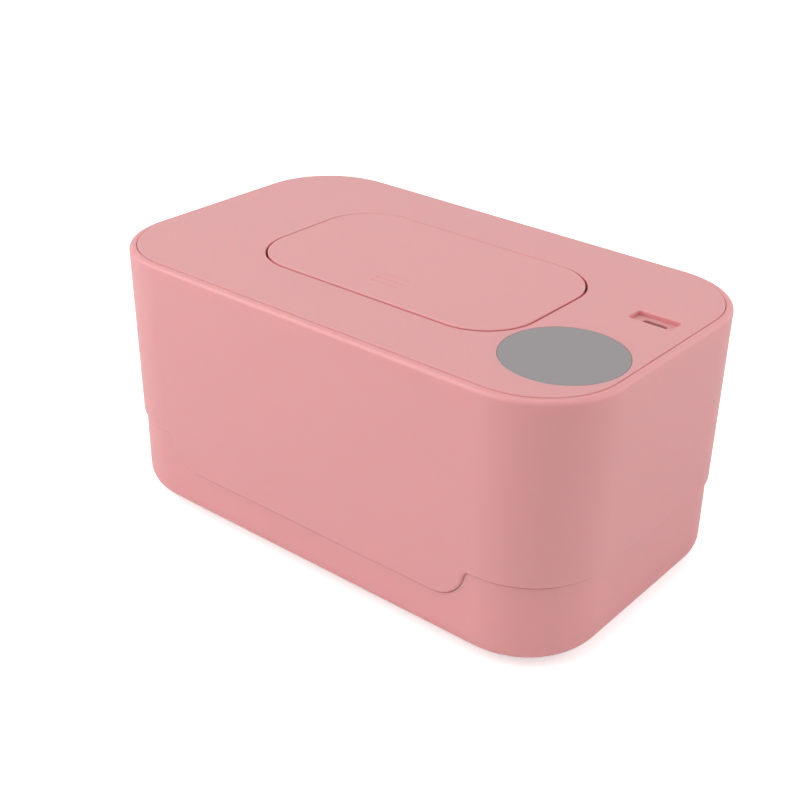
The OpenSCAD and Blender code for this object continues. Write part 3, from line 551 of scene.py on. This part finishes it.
def cell_foam(name, rgb, cell):
    """Closed-cell foam: small dimples all over."""
    made, tree = new_material(name)
    place = add_node(tree, "ShaderNodeTexCoord").outputs["Object"]
    cells = add_node(tree, "ShaderNodeTexVoronoi", Vector=place, Scale=1 / cell)
    tone = add_node(
        tree, "ShaderNodeMix", {"data_type": "RGBA"},
        _0=cells.outputs["Distance"], _6=rgba(rgb, 0.86), _7=rgba(rgb, 1.0))
    bump = add_node(
        tree, "ShaderNodeBump", Strength=0.6, Distance=0.15 * MM, Height=cells.outputs["Distance"])
    shader = add_node(
        tree, "ShaderNodeBsdfPrincipled", Base_Color=tone.outputs[2], Roughness=0.9,
        Normal=bump.outputs["Normal"])
    output(tree, shader.outputs["BSDF"])
    return made


def etched_film(name, film, track, pitch):
    """Amber film with the heater's tracks showing through as broad wavy lines."""
    made, tree = new_material(name)
    place = add_node(tree, "ShaderNodeTexCoord").outputs["Object"]
    bands = add_node(
        tree, "ShaderNodeTexWave",
        {"wave_type": "BANDS", "bands_direction": "Y", "wave_profile": "SIN"},
        Vector=place, Scale=0.31416 / pitch, Distortion=0.6, Detail=0.0)
    edge = add_node(
        tree, "ShaderNodeMapRange", Value=bands.outputs["Fac"], _1=0.42, _2=0.58, _3=0.0, _4=1.0)
    tone = add_node(
        tree, "ShaderNodeMix", {"data_type": "RGBA"},
        _0=edge.outputs["Result"], _6=rgba(film), _7=rgba(track))
    shader = add_node(
        tree, "ShaderNodeBsdfPrincipled", Base_Color=tone.outputs[2], Roughness=0.32,
        Coat_Weight=0.3)
    output(tree, shader.outputs["BSDF"])
    return made


FINISHES = {}


def finishes():
    """Makes every finish once, and returns them by name."""
    if FINISHES:
        return FINISHES
    look = bpy.context.scene.warmer_finish
    FINISHES.update({
        # ABS from a spark-eroded mould: satin, with a grain that breaks up reflections. The real
        # grain is about 0.1 mm, and is drawn at 0.5 mm so that it shows. In the gaps a deeper red
        # is
        # painted on: a painted glow in place of the light that comes through its edges.
        "shell": grained(
            "ABS, spark-textured pink", look.pink, look.pink_rough, 0.5 * MM, 0.012 * MM,
            ior=1.54, specular=0.7, painted_glow_rgb=look.painted_gap_glow, Subsurface_Weight=0.5,
            Subsurface_Radius=(0.005, 0.0012, 0.0012), Subsurface_Scale=1.0),
        # The same ABS from a plain mould: a little glossier, with hardly any grain
        "inner": grained("ABS, plain pink", look.inner_pink, 0.38, 0.9 * MM, 0.006 * MM),
        # Polycarbonate, sprayed grey from behind and frosted on its face: even and dull
        "disc": grained(
            "Polycarbonate, frosted grey", look.grey, look.grey_rough, 0.35 * MM, 0.006 * MM,
            spread=0.006, ior=1.58),
        # Silicone rubber from a matt mould: milky, soft highlights, a little light goes in
        "silicone": grained(
            "Silicone rubber, milky", look.silicone, 0.55, 0.7 * MM, 0.01 * MM, ior=1.41,
            Subsurface_Weight=0.25, Subsurface_Radius=(0.004, 0.003, 0.0025),
            Subsurface_Scale=0.4),
        # Thermoplastic rubber: dull and slightly uneven, so it grips a table
        "rubber": grained(
            "Thermoplastic rubber, dusty pink", linear("#b98688"), 0.78, 0.6 * MM, 0.03 * MM),
        # Acetal cut from rod: smooth, waxy white
        "acetal": grained(
            "Acetal, natural white", linear("#ebe6df"), 0.34, 1.2 * MM, 0.004 * MM, ior=1.48),
        # Zinc-plated steel: bright, faintly cloudy
        "steel": brushed("Zinc-plated steel", linear("#c9cbcd"), 0.32, 0.4 * MM, (1.0, 1.0, 1.0)),
        # Tin plate of a connector's shell, dull, with draw lines down its sides, painted dark and
        # reddish: painted shade from the slot round it and a painted reflection of the pink
        # plastic
        "socket": brushed(
            "Tin-plated brass, tarnished", linear("#4f3a3a"), 0.4, 0.25 * MM, (1.0, 1.0, 0.1)),
        # Drawn spring wire: lines along the wire, dull sheen
        "spring": brushed("Drawn spring wire", linear("#b4b6ba"), 0.36, 0.2 * MM, (1.0, 1.0, 0.3)),
        # Rolled aluminium sheet: long fine lines along the sheet
        "aluminium": brushed(
            "Rolled aluminium", linear("#d2d4d6"), 0.34, 0.35 * MM, (0.03, 1.0, 1.0)),
        # Polyimide film over etched foil: amber, with the darker tracks showing
        "film": etched_film(
            "Polyimide heating film", linear("#c9772c"), linear("#8a4a1c"), 4 * MM),
        # Closed-cell polyethylene foam: white, dimpled, dull
        "foam": cell_foam("Polyethylene foam", linear("#e7e6e1"), 1.1 * MM),
        # Epoxy glass laminate under green lacquer: glossy, weave faintly in relief
        "laminate": grained(
            "Lacquered glass laminate", linear("#23543a"), 0.3, 0.5 * MM, 0.01 * MM,
            Coat_Weight=0.5),
        # Moulded epoxy of electronic parts: black, dull
        "epoxy": grained("Moulded black epoxy", linear("#1d1e20"), 0.55, 0.3 * MM, 0.01 * MM),
        # Wire insulation: smooth, slightly waxy
        "red wire": grained("Wire insulation, red", linear("#a52f2b"), 0.4, 0.8 * MM, 0.004 * MM),
        "white wire": grained(
            "Wire insulation, white", linear("#e4e3df"), 0.4, 0.8 * MM, 0.004 * MM),
    })
    return FINISHES


# Shell and tray

def tongue_edge(body, grow=0.0):
    """The lower edge of the tongue from one flare to the other, about x = 0."""
    flare_z = body.seam - body.tongue_flare
    corner = (body.tongue_half - body.tongue_corner,
              body.seam - body.tongue_drop + body.tongue_corner)
    reach = body.tongue_corner + body.tongue_flare
    flare_x = corner[0] + math.sqrt(reach ** 2 - (corner[1] - flare_z) ** 2)
    turn = math.degrees(math.atan2(corner[1] - flare_z, flare_x - corner[0]))
    right = arc(*corner, body.tongue_corner + grow, -90, -turn, 14)
    right += arc(flare_x, flare_z, body.tongue_flare - grow, 180 - turn, 90, 7)[1:]
    return [(-x, z) for x, z in reversed(right)] + right


def wrap(point, body):
    """Bends a flat blank round the body. Its x runs along the outline, and its y inwards."""
    quarter = body.corner * math.pi / 2
    short, long_side = body.half_w - body.corner, body.half_l - body.corner
    place, heading, along = Vector((body.half_l, 0.0)), Vector((0.0, 1.0)), point.x
    for leg in (short, 2 * long_side, 2 * short, 2 * long_side, short):
        outward = Vector((heading.y, -heading.x))
        if along <= leg + MERGE:
            flat = place + heading * along - outward * point.y
            return Vector((flat.x, flat.y, point.z))
        along -= leg
        place += heading * leg
        centre = place - outward * body.corner
        turned = Matrix.Rotation(min(along / body.corner, math.pi / 2), 2) @ outward
        if along <= quarter:
            flat = centre + turned * (body.corner - point.y)
            return Vector((flat.x, flat.y, point.z))
        along -= quarter
        place = centre + turned * body.corner
        heading = Matrix.Rotation(math.pi / 2, 2) @ heading
    raise RuntimeError("a point lies beyond the outline's end")


def blank(bm, outline, thickness):
    """A flat blank, drawn in x and z, and thick along y."""
    face = bm.faces.new([bm.verts.new((x, 0.0, z)) for x, z in outline])
    made = bmesh.ops.extrude_face_region(bm, geom=[face])["geom"]
    back = [v for v in made if isinstance(v, bmesh.types.BMVert)]
    bmesh.ops.translate(bm, verts=back, vec=(0.0, thickness, 0.0))


def bevel(bm, edges, radius, steps=ROUND_STEPS):
    bmesh.ops.bevel(
        bm, geom=list(edges), offset=radius, offset_type="OFFSET", segments=steps, profile=0.5,
        affect="EDGES", material=-1)


def shell_wall(body):
    """The shell's wall: a blank with a tongue for each long side, rounded and bent into a ring."""
    quarter = body.corner * math.pi / 2
    short, long_side = body.half_w - body.corner, body.half_l - body.corner
    full = 4 * (short + long_side + quarter)
    middles = [short + quarter + long_side, full - short - quarter - long_side]
    lower = [(0.0, body.seam)]
    for middle in middles:
        lower += [(middle + x, z) for x, z in tongue_edge(body)]
    lower.append((full, body.seam))
    bm = bmesh.new()
    blank(bm, lower + [(full, body.rim_top), (0.0, body.rim_top)], body.wall)

    def low(edge):
        return all(v.co.z < body.seam + MM for v in edge.verts)

    def high(edge):
        return all(v.co.z > body.rim_top - MERGE for v in edge.verts)

    def depth(edge, y):
        return all(abs(v.co.y - y) < MERGE for v in edge.verts)

    bevel(bm, [e for e in bm.edges if low(e) and depth(e, 0.0)], body.edge_round)
    bevel(bm, [e for e in bm.edges if high(e) and depth(e, 0.0)], body.rim_round, 8)
    bevel(bm, [e for e in bm.edges if high(e) and depth(e, body.wall)], RIM_SOFT, 3)
    # The two ends meet in the ring, so they stay open and are merged
    ends = [f for f in bm.faces if abs(abs(f.normal.x) - 1) < 0.001 and
            (f.calc_center_median().x < MERGE or f.calc_center_median().x > full - MERGE)]
    bmesh.ops.delete(bm, geom=ends, context="FACES_ONLY")
    # The blank is cut into strips where it bends round a corner
    starts = [short, short + quarter + 2 * long_side, 3 * short + 2 * (quarter + long_side),
              3 * short + 3 * quarter + 4 * long_side]
    for start in starts:
        for k in range(CORNER_STEPS + 1):
            bmesh.ops.bisect_plane(
                bm, geom=bm.verts[:] + bm.edges[:] + bm.faces[:], dist=MERGE,
                plane_co=(start + quarter * k / CORNER_STEPS, 0.0, 0.0), plane_no=(1.0, 0.0, 0.0))
    span = body.rim_top - body.rim_round - body.seam
    for vert in bm.verts:
        fall = max(0.0, body.rim_top - body.rim_round - vert.co.z) / span
        vert.co.y += body.lean * fall * (1 - vert.co.y / body.wall)
        vert.co = wrap(vert.co, body)
    return bm


def add_shell():
    """The upper wall, with the ledge and lugs that carry the top plate."""
    body, top = bpy.context.scene.warmer_body, bpy.context.scene.warmer_top
    bm = bmesh.new()
    outline = rounded(body.half_l, body.half_w, body.corner)
    ledge_top = top.top - top.plate
    deep, sunk = body.wall + body.ledge, body.wall - ROOT
    closed_section(bm, outline, [
        (sunk, ledge_top), (deep - LEDGE_SOFT, ledge_top), (deep, ledge_top - LEDGE_SOFT),
        (deep, ledge_top - LEDGE_THICK), (sunk, ledge_top - LEDGE_THICK - body.ledge)])
    for x, y, turn in LUGS:
        centre = (x * MM, y * MM)
        closed_section(bm, disc(LUG_R, centre, POST_STEPS), [
            (0.0, LUG_LOW), (0.0, LUG_HIGH), (LUG_WALL, LUG_HIGH), (LUG_WALL, LUG_LOW)])
        web = bmesh.ops.create_cube(bm, size=1.0)["verts"]
        far = WEB_FAR_CORNER if turn % 90 else WEB_FAR_SIDE
        bmesh.ops.scale(bm, verts=web, vec=(far - WEB_NEAR, WEB_W, LUG_HIGH - LUG_LOW))
        bmesh.ops.translate(
            bm, verts=web, vec=((far + WEB_NEAR) / 2, 0.0, (LUG_HIGH + LUG_LOW) / 2))
        bmesh.ops.rotate(
            bm, verts=web, cent=(0, 0, 0), matrix=Matrix.Rotation(math.radians(turn), 3, "Z"))
        bmesh.ops.translate(bm, verts=web, vec=(*centre, 0.0))
    bm = combine(shell_wall(body), bm, "UNION")
    piece(bm, "upper_shell", "housing", ["outer_shell"], finishes()["shell"])


def add_tray():
    """The lower tub, cut back behind the tongues, with a lip that stands inside the shell."""
    body = bpy.context.scene.warmer_body
    inset = body.lean + body.tray_step
    outline = rounded(body.half_l - inset, body.half_w - inset, body.corner - inset)
    lip_in = body.wall + body.lip_slip - inset
    inner = lip_in + body.lip
    low, high = body.foot_h, body.seam - body.seam_gap
    lip_top = body.seam + body.lip_rise
    floor, inner_fillet = low + body.tray_floor, body.tray_fillet - inner
    section = arc(body.tray_fillet, low + body.tray_fillet, body.tray_fillet, 270, 180, 12)
    section += arc(TRAY_SOFT, high - TRAY_SOFT, TRAY_SOFT, 180, 90, 3)
    section += [(lip_in, high)]
    section += arc(lip_in + LIP_SOFT, lip_top - LIP_SOFT, LIP_SOFT, 180, 90, 4)
    section += arc(inner - LIP_SOFT, lip_top - LIP_SOFT, LIP_SOFT, 90, 0, 4)
    section += arc(inner + inner_fillet, floor + inner_fillet, inner_fillet, 180, 270, 8)
    bm = bmesh.new()
    solid(bm, outline, section)
    cutter = bmesh.new()
    back = body.half_w - inset - lip_in
    for side in (-1, 1):
        edge = tongue_edge(body, body.seam_gap)
        blank_outline = edge + [(edge[-1][0], body.seam + MM), (edge[0][0], body.seam + MM)]
        part = bmesh.new()
        blank(part, blank_outline, body.half_w + MM - back)
        for vert in part.verts:
            vert.co.y = side * (back + vert.co.y)
        tidy_mesh(part)
        holder = bpy.data.meshes.new("notch")
        part.to_mesh(holder)
        part.free()
        cutter.from_mesh(holder)
        bpy.data.meshes.remove(holder)
    for x, y in FEET:
        solid(cutter, disc(body.foot_r + FOOT_PLAY, (x * MM, y * MM), RECESS_STEPS),
              [(0.0, -MM), (0.0, low + FOOT_RECESS)])
    bm = combine(bm, cutter, "DIFFERENCE")
    piece(bm, "lower_tray", "base", ["base_tray"], finishes()["shell"])


def add_feet():
    """Four round pads in recesses under the tray."""
    body = bpy.context.scene.warmer_body
    bm = bmesh.new()
    for x, y in FEET:
        solid(bm, disc(body.foot_r, (x * MM, y * MM), FOOT_STEPS),
              FOOT_DISH + arc(FOOT_SOFT, FOOT_SOFT, FOOT_SOFT, 270, 180, 5) +
              [(0.0, body.foot_h + FOOT_RECESS)])
    piece(bm, "feet", "base", ["rubber_feet"], finishes()["rubber"])


# Top

def hatch_outline(top, gap=0.0):
    """The hatch's outline, or its opening's, which is wider by the gap."""
    return rounded(top.hatch_l + gap, top.hatch_w + gap, top.hatch_corner + gap,
                   (0.0, top.hatch_y))


def add_top_plate():
    """The plate, open for the hatch, the disc and the port, with its seat and posts below."""
    body, top = bpy.context.scene.warmer_body, bpy.context.scene.warmer_top
    high, low = top.top - top.hatch_proud, top.top - top.plate
    bm = bmesh.new()
    plate = rounded(body.half_l - top.plate_inset, body.half_w - top.plate_inset,
                    body.corner - top.plate_inset)
    disc_at, port_at = (top.disc_x, -top.disc_y), (top.port_x, top.port_y)
    under, face = carry(bm, plate, [(0.0, low)] + arc(
        top.plate_round, high - top.plate_round, top.plate_round, 180, 90, 6))
    tops, bottoms = [face], [under]
    hole = top.disc_r + top.disc_gap
    for outline, soft in (
            (hatch_outline(top, top.hatch_gap), top.mouth_round),
            (disc(hole, disc_at), DISC_HOLE_SOFT),
            (rounded(top.port_l, top.port_w, top.port_r, port_at, POST_STEPS), POCKET_SOFT)):
        upper, lower = carry(bm, outline, arc(-soft, high - soft, soft, 90, 0, 4) + [(0.0, low)])
        tops.append(upper)
        bottoms.append(lower)
    fill(bm, *tops)
    fill(bm, *bottoms)
    skin, bm, root = bm, bmesh.new(), low + ROOT
    seat = top.top - SEAT_DROP
    closed_section(bm, disc(hole + SEAT_WALL, disc_at), [
        (0.0, root), (0.0, seat - SEAT_THICK), (SEAT_REACH, seat - SEAT_THICK),
        (SEAT_REACH, seat), (SEAT_WALL, seat), (SEAT_WALL, low),
        (SEAT_WALL - SEAT_STEP, low), (SEAT_WALL - SEAT_STEP, root)])
    pocket = rounded(top.port_l + POCKET_WALL, top.port_w + POCKET_WALL,
                     top.port_r + POCKET_WALL, port_at, POST_STEPS)
    slot = rounded(SLOT_HALF_L, SLOT_HALF_W, SLOT_HALF_W - MERGE, port_at, POST_STEPS)
    lower = low - POCKET_WALL
    loops = [
        carry(bm, pocket, [(0.0, low), (0.0, lower)]),
        carry(bm, slot, arc(-SLOT_SOFT, low - SLOT_SOFT, SLOT_SOFT, 90, 0, 3) + [(0.0, lower)])]
    fill(bm, loops[0][0], loops[1][0])
    fill(bm, loops[0][1], loops[1][1])
    posts = [(x, y, *LUG_POST) for x, y, _ in LUGS]
    posts += [(x, y, *CEILING_POST) for x, y in CEILING_POSTS]
    posts += [(x, y, *BOARD_POST) for x, y in BOARD_POSTS]
    for x, y, outer, bore, foot in posts:
        thick = (outer - bore) * MM
        closed_section(bm, disc(outer * MM, (x * MM, y * MM), POST_STEPS), [
            (0.0, root), (0.0, foot * MM), (thick, foot * MM), (thick, root)])
    bm = combine(skin, bm, "UNION")
    piece(bm, "top_plate", "housing", ["top_cover"], finishes()["shell"])


def add_hatch():
    """The hatch's outer skin, with three short grooves for the finger."""
    top = bpy.context.scene.warmer_top
    high, low = top.top, top.top - top.plate
    bm = bmesh.new()
    section = arc(HATCH_SOFT, low + HATCH_SOFT, HATCH_SOFT, 270, 180, 3)
    section += arc(top.hatch_round, high - top.hatch_round, top.hatch_round, 180, 90, 8)
    under, face = carry(bm, hatch_outline(top), section)
    fill(bm, under)
    tops = [face]
    for k in (-1, 0, 1):
        place = (0.0, (GROOVE_Y + GROOVE_PITCH * k) * MM)
        groove = rounded(GROOVE_HALF_L, GROOVE_HALF_W, GROOVE_HALF_W - MERGE, place, POST_STEPS)
        rim, floor = carry(bm, groove, [
            (inset * MM, high - depth * MM) for inset, depth in GROOVE_DEPTHS])
        tops.append(rim)
        fill(bm, floor)
    fill(bm, *tops)
    piece(bm, "hatch_skin", "lid", ["flip_lid"], finishes()["shell"])


def add_disc():
    """The display disc, flush with the plate, with a skirt that shades the digits."""
    top = bpy.context.scene.warmer_top
    seat, face = top.top - SEAT_DROP, top.top - top.hatch_proud
    bm = bmesh.new()
    solid(bm, disc(top.disc_r, (top.disc_x, -top.disc_y)), [
        (SKIRT_IN, seat), (SKIRT_IN, seat - SKIRT_DEEP), (SKIRT_OUT, seat - SKIRT_DEEP),
        (SKIRT_OUT, seat), (0.0, seat)] +
        arc(DISC_SOFT, face - DISC_SOFT, DISC_SOFT, 180, 90, 4))
    piece(bm, "display_disc", "housing", ["display_lens"], finishes()["disc"])


# Parts inside, copied from the frame with softer edges, or only given a material. A row of the
# first table holds the node, the piece, its body, finish and slot, and the width of its soft
# edges in millimetres.

SOFTENED = (
    ("hatch_well", "well_tub", "housing", "shell", "shell_plastic", 0.3),
    ("throat_sleeve", "wipe_sleeve", "housing", "inner", "inner_plastic", 0.3),
    ("lid_inner", "hatch_frame", "lid", "inner", "inner_plastic", 0.25),
    ("lid_gasket", "hatch_seal", "lid", "silicone", "silicone", 0.4),
    ("dispensing_membrane", "slit_membrane", "housing", "silicone", "silicone", 0.25),
    ("latch_case", "latch_sleeve", "housing", "acetal", "acetal", 0.25),
    ("latch_plunger", "latch_fingers", "latch_plunger", "acetal", "acetal", 0.2),
    ("hinge_pin", "hinge_rod", "housing", "steel", "steel", 0.2),
    ("heater_frame", "chamber_ceiling", "housing", "inner", "inner_plastic", 0.3),
    ("heater_plate", "warm_plate", "housing", "aluminium", "aluminium", 0.15),
    ("led_display", "digit_module", "housing", "epoxy", "component_black", 0.2),
    ("board_parts", "board_chips", "housing", "epoxy", "component_black", 0.15),
    ("cover_screws", "plate_screws", "housing", "steel", "steel", 0.15),
    ("frame_screws", "ceiling_screws", "housing", "steel", "steel", 0.15),
    ("board_screws", "small_screws", "housing", "steel", "steel", 0.1),
)
DRESSED = (
    ("touch_spring", "spring"), ("lid_spring", "spring"),
    ("latch_hook_pin", "spring"), ("control_board", "laminate"), ("heating_film", "film"),
    ("heater_insulation", "foam"), ("thermistor", "epoxy"), ("thermal_fuse", "steel"),
    ("heater_leads", "red wire"), ("sensor_leads", "white wire"),
)


def add_inner_parts():
    """Every part inside: soft edges where it can be seen, and its own material everywhere."""
    for node, name, body, finish, slot, width in SOFTENED:
        softened(node, name, body, finishes()[finish], width * MM)
    for node, finish in DRESSED:
        dress(node, finishes()[finish])
    # The coil stands on the latch's floor. It is copied as it stands, with smooth faces, and takes
    # the place of its node.
    bm = merged_copy("latch_spring")
    for face in bm.faces:
        face.smooth = True
    coil = mesh_object(bm, "latch_coil")
    coil.data.materials.append(finishes()["spring"])
    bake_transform(coil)
    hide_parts("latch_spring")
    port = softened(
        "usb_socket", "port_shell", "housing", finishes()["socket"], SOCKET_SOFT)
    mouth = max(v.co.z for v in port.data.vertices)
    for vert in port.data.vertices:
        if vert.co.z > mouth - MOUTH_RIM:
            vert.co.z -= MOUTH_SUNK


# Studio

def direction(azimuth, elevation):
    """A unit vector from the warmer towards a place at these angles, in degrees."""
    a, e = math.radians(azimuth), math.radians(elevation)
    return Vector((math.sin(a) * math.cos(e), -math.cos(a) * math.cos(e), math.sin(e)))


def add_camera():
    """The camera at the photograph's angle and distance."""
    azimuth, roll = math.radians(CAMERA_AZIMUTH), math.radians(CAMERA_ROLL)
    back = direction(CAMERA_AZIMUTH, CAMERA_ELEVATION)
    right = Vector((math.cos(azimuth), math.sin(azimuth), 0.0))
    up = back.cross(right)
    turned_right = right * math.cos(roll) + up * math.sin(roll)
    turned_up = up * math.cos(roll) - right * math.sin(roll)
    aim = Vector((0.0, 0.0, CAMERA_AIM * MM))
    place = (aim + back * CAMERA_DISTANCE * MM + turned_right * CAMERA_RIGHT * MM -
             turned_up * CAMERA_DOWN * MM)
    made = bpy.data.cameras.new("Camera")
    made.sensor_width = SENSOR
    made.lens = SENSOR * FOCAL / FRAME
    made.shift_x = SHIFT_X / FRAME
    made.shift_y = SHIFT_Y / FRAME
    made.clip_start, made.clip_end = 0.01, 20.0
    holder = bpy.data.objects.new("Camera", made)
    bpy.context.scene.collection.objects.link(holder)
    holder.matrix_world = Matrix.Translation(place) @ Matrix(
        (turned_right, turned_up, back)).transposed().to_4x4()
    bpy.context.scene.camera = holder


def add_lamp(name, azimuth, elevation, distance, size, power):
    """A square soft box that looks at the middle of the warmer."""
    made = bpy.data.lights.new(name, "AREA")
    made.shape = "SQUARE"
    made.size = size
    made.energy = power
    holder = bpy.data.objects.new(name, made)
    towards = direction(azimuth, elevation)
    holder.location = Vector((0.0, 0.0, LAMP_AIM)) + towards * distance
    holder.rotation_euler = towards.to_track_quat("Z", "Y").to_euler()
    bpy.context.scene.collection.objects.link(holder)


def add_stage():
    """Floor, world, lamps and camera."""
    scene, stage = bpy.context.scene, bpy.context.scene.warmer_stage
    scene.view_settings.view_transform = "Standard"
    bm = bmesh.new()
    bmesh.ops.create_grid(bm, x_segments=1, y_segments=1, size=FLOOR_HALF)
    floor = mesh_object(bm, "floor")
    made, tree = new_material("Matt studio paper, white")
    # The floor gets whiter for the camera from the warmer outwards, and its light stays as it is
    path = add_node(tree, "ShaderNodeLightPath")
    paper = add_node(tree, "ShaderNodeBsdfDiffuse", Color=rgba(stage.floor))
    place = add_node(tree, "ShaderNodeTexCoord").outputs["Object"]
    far = add_node(tree, "ShaderNodeVectorMath", {"operation": "LENGTH"}, _0=place)
    rise = add_node(tree, "ShaderNodeMapRange", Value=far.outputs["Value"],
                    _1=FLOOR_NEAR, _2=FLOOR_FAR, _3=stage.floor_lift, _4=1.0)
    lift = add_node(
        tree, "ShaderNodeMath", {"operation": "MULTIPLY"},
        _0=path.outputs["Is Camera Ray"], _1=rise.outputs["Result"])
    glow = add_node(tree, "ShaderNodeEmission", Color=(1, 1, 1, 1), Strength=lift.outputs[0])
    both = add_node(tree, "ShaderNodeAddShader", _0=paper.outputs[0], _1=glow.outputs[0])
    output(tree, both.outputs[0])
    floor.data.materials.append(made)

    # The world is plain white for the camera, in reflections and through clear parts
    world = bpy.data.worlds.new("Studio")
    scene.world = world
    world.use_nodes = True
    tree = world.node_tree
    tree.nodes.clear()
    path = add_node(tree, "ShaderNodeLightPath")
    seen = add_node(tree, "ShaderNodeMath", {"operation": "MAXIMUM"},
                    _0=path.outputs["Is Camera Ray"], _1=path.outputs["Is Glossy Ray"])
    seen = add_node(tree, "ShaderNodeMath", {"operation": "MAXIMUM"},
                    _0=seen.outputs[0], _1=path.outputs["Is Transmission Ray"])
    strength = add_node(tree, "ShaderNodeMix", {"data_type": "FLOAT"},
                        _0=seen.outputs[0], _2=stage.world, _3=1.0)
    sky = add_node(tree, "ShaderNodeBackground", Color=(1, 1, 1, 1), Strength=strength.outputs[0])
    add_node(tree, "ShaderNodeOutputWorld", Surface=sky.outputs[0])

    for *where, power in LAMPS:
        add_lamp(*where, getattr(stage, power))
    add_camera()


# Operators

class WARMER_OT_shell(bpy.types.Operator):
    """Build the upper wall with its tongues"""
    bl_idname = "warmer.shell"
    bl_label = "Upper shell"
    bl_options = {"REGISTER", "UNDO"}

    def execute(self, context):
        add_shell()
        return {"FINISHED"}


class WARMER_OT_tray(bpy.types.Operator):
    """Build the lower tub"""
    bl_idname = "warmer.tray"
    bl_label = "Lower tray"
    bl_options = {"REGISTER", "UNDO"}

    def execute(self, context):
        add_tray()
        return {"FINISHED"}


class WARMER_OT_feet(bpy.types.Operator):
    """Build the four pads under the tray"""
    bl_idname = "warmer.feet"
    bl_label = "Feet"
    bl_options = {"REGISTER", "UNDO"}

    def execute(self, context):
        add_feet()
        return {"FINISHED"}


class WARMER_OT_top_plate(bpy.types.Operator):
    """Build the flush top plate"""
    bl_idname = "warmer.top_plate"
    bl_label = "Top plate"
    bl_options = {"REGISTER", "UNDO"}

    def execute(self, context):
        add_top_plate()
        return {"FINISHED"}


class WARMER_OT_hatch(bpy.types.Operator):
    """Build the hatch's outer skin"""
    bl_idname = "warmer.hatch"
    bl_label = "Hatch"
    bl_options = {"REGISTER", "UNDO"}

    def execute(self, context):
        add_hatch()
        return {"FINISHED"}


class WARMER_OT_disc(bpy.types.Operator):
    """Build the display disc"""
    bl_idname = "warmer.disc"
    bl_label = "Display disc"
    bl_options = {"REGISTER", "UNDO"}

    def execute(self, context):
        add_disc()
        return {"FINISHED"}


class WARMER_OT_inner_parts(bpy.types.Operator):
    """Finish the parts inside"""
    bl_idname = "warmer.inner_parts"
    bl_label = "Parts inside"
    bl_options = {"REGISTER", "UNDO"}

    def execute(self, context):
        add_inner_parts()
        return {"FINISHED"}


class WARMER_OT_stage(bpy.types.Operator):
    """Build the floor, the lamps and the camera"""
    bl_idname = "warmer.stage"
    bl_label = "Studio"
    bl_options = {"REGISTER", "UNDO"}

    def execute(self, context):
        add_stage()
        return {"FINISHED"}


OPERATORS = (
    WARMER_OT_stage, WARMER_OT_shell, WARMER_OT_tray, WARMER_OT_feet, WARMER_OT_top_plate,
    WARMER_OT_hatch, WARMER_OT_disc, WARMER_OT_inner_parts,
)
SETTINGS = {
    "warmer_body": BodySizes, "warmer_top": TopSizes, "warmer_finish": FinishSettings,
    "warmer_stage": StageSettings,
}


class WARMER_PT_panel(bpy.types.Panel):
    """Lists the warmer's settings and pieces"""
    bl_idname = "WARMER_PT_panel"
    bl_label = "Wipe warmer"
    bl_space_type = "VIEW_3D"
    bl_region_type = "UI"
    bl_category = "Wipe warmer"

    def draw(self, context):
        for name, group in SETTINGS.items():
            box = self.layout.box()
            box.label(text=group.__doc__)
            for prop in group.__annotations__:
                box.prop(getattr(context.scene, name), prop)
        for operator in OPERATORS:
            self.layout.operator(operator.bl_idname)


CLASSES = (*SETTINGS.values(), *OPERATORS, WARMER_PT_panel)


def register():
    for cls in CLASSES:
        bpy.utils.register_class(cls)
    for name, group in SETTINGS.items():
        setattr(bpy.types.Scene, name, bpy.props.PointerProperty(type=group))


def unregister():
    for name in SETTINGS:
        delattr(bpy.types.Scene, name)
    for cls in reversed(CLASSES):
        bpy.utils.unregister_class(cls)


def main():
    register()
    for operator in OPERATORS:
        group, name = operator.bl_idname.split(".")
        getattr(getattr(bpy.ops, group), name)()


if __name__ == "__main__":
    main()
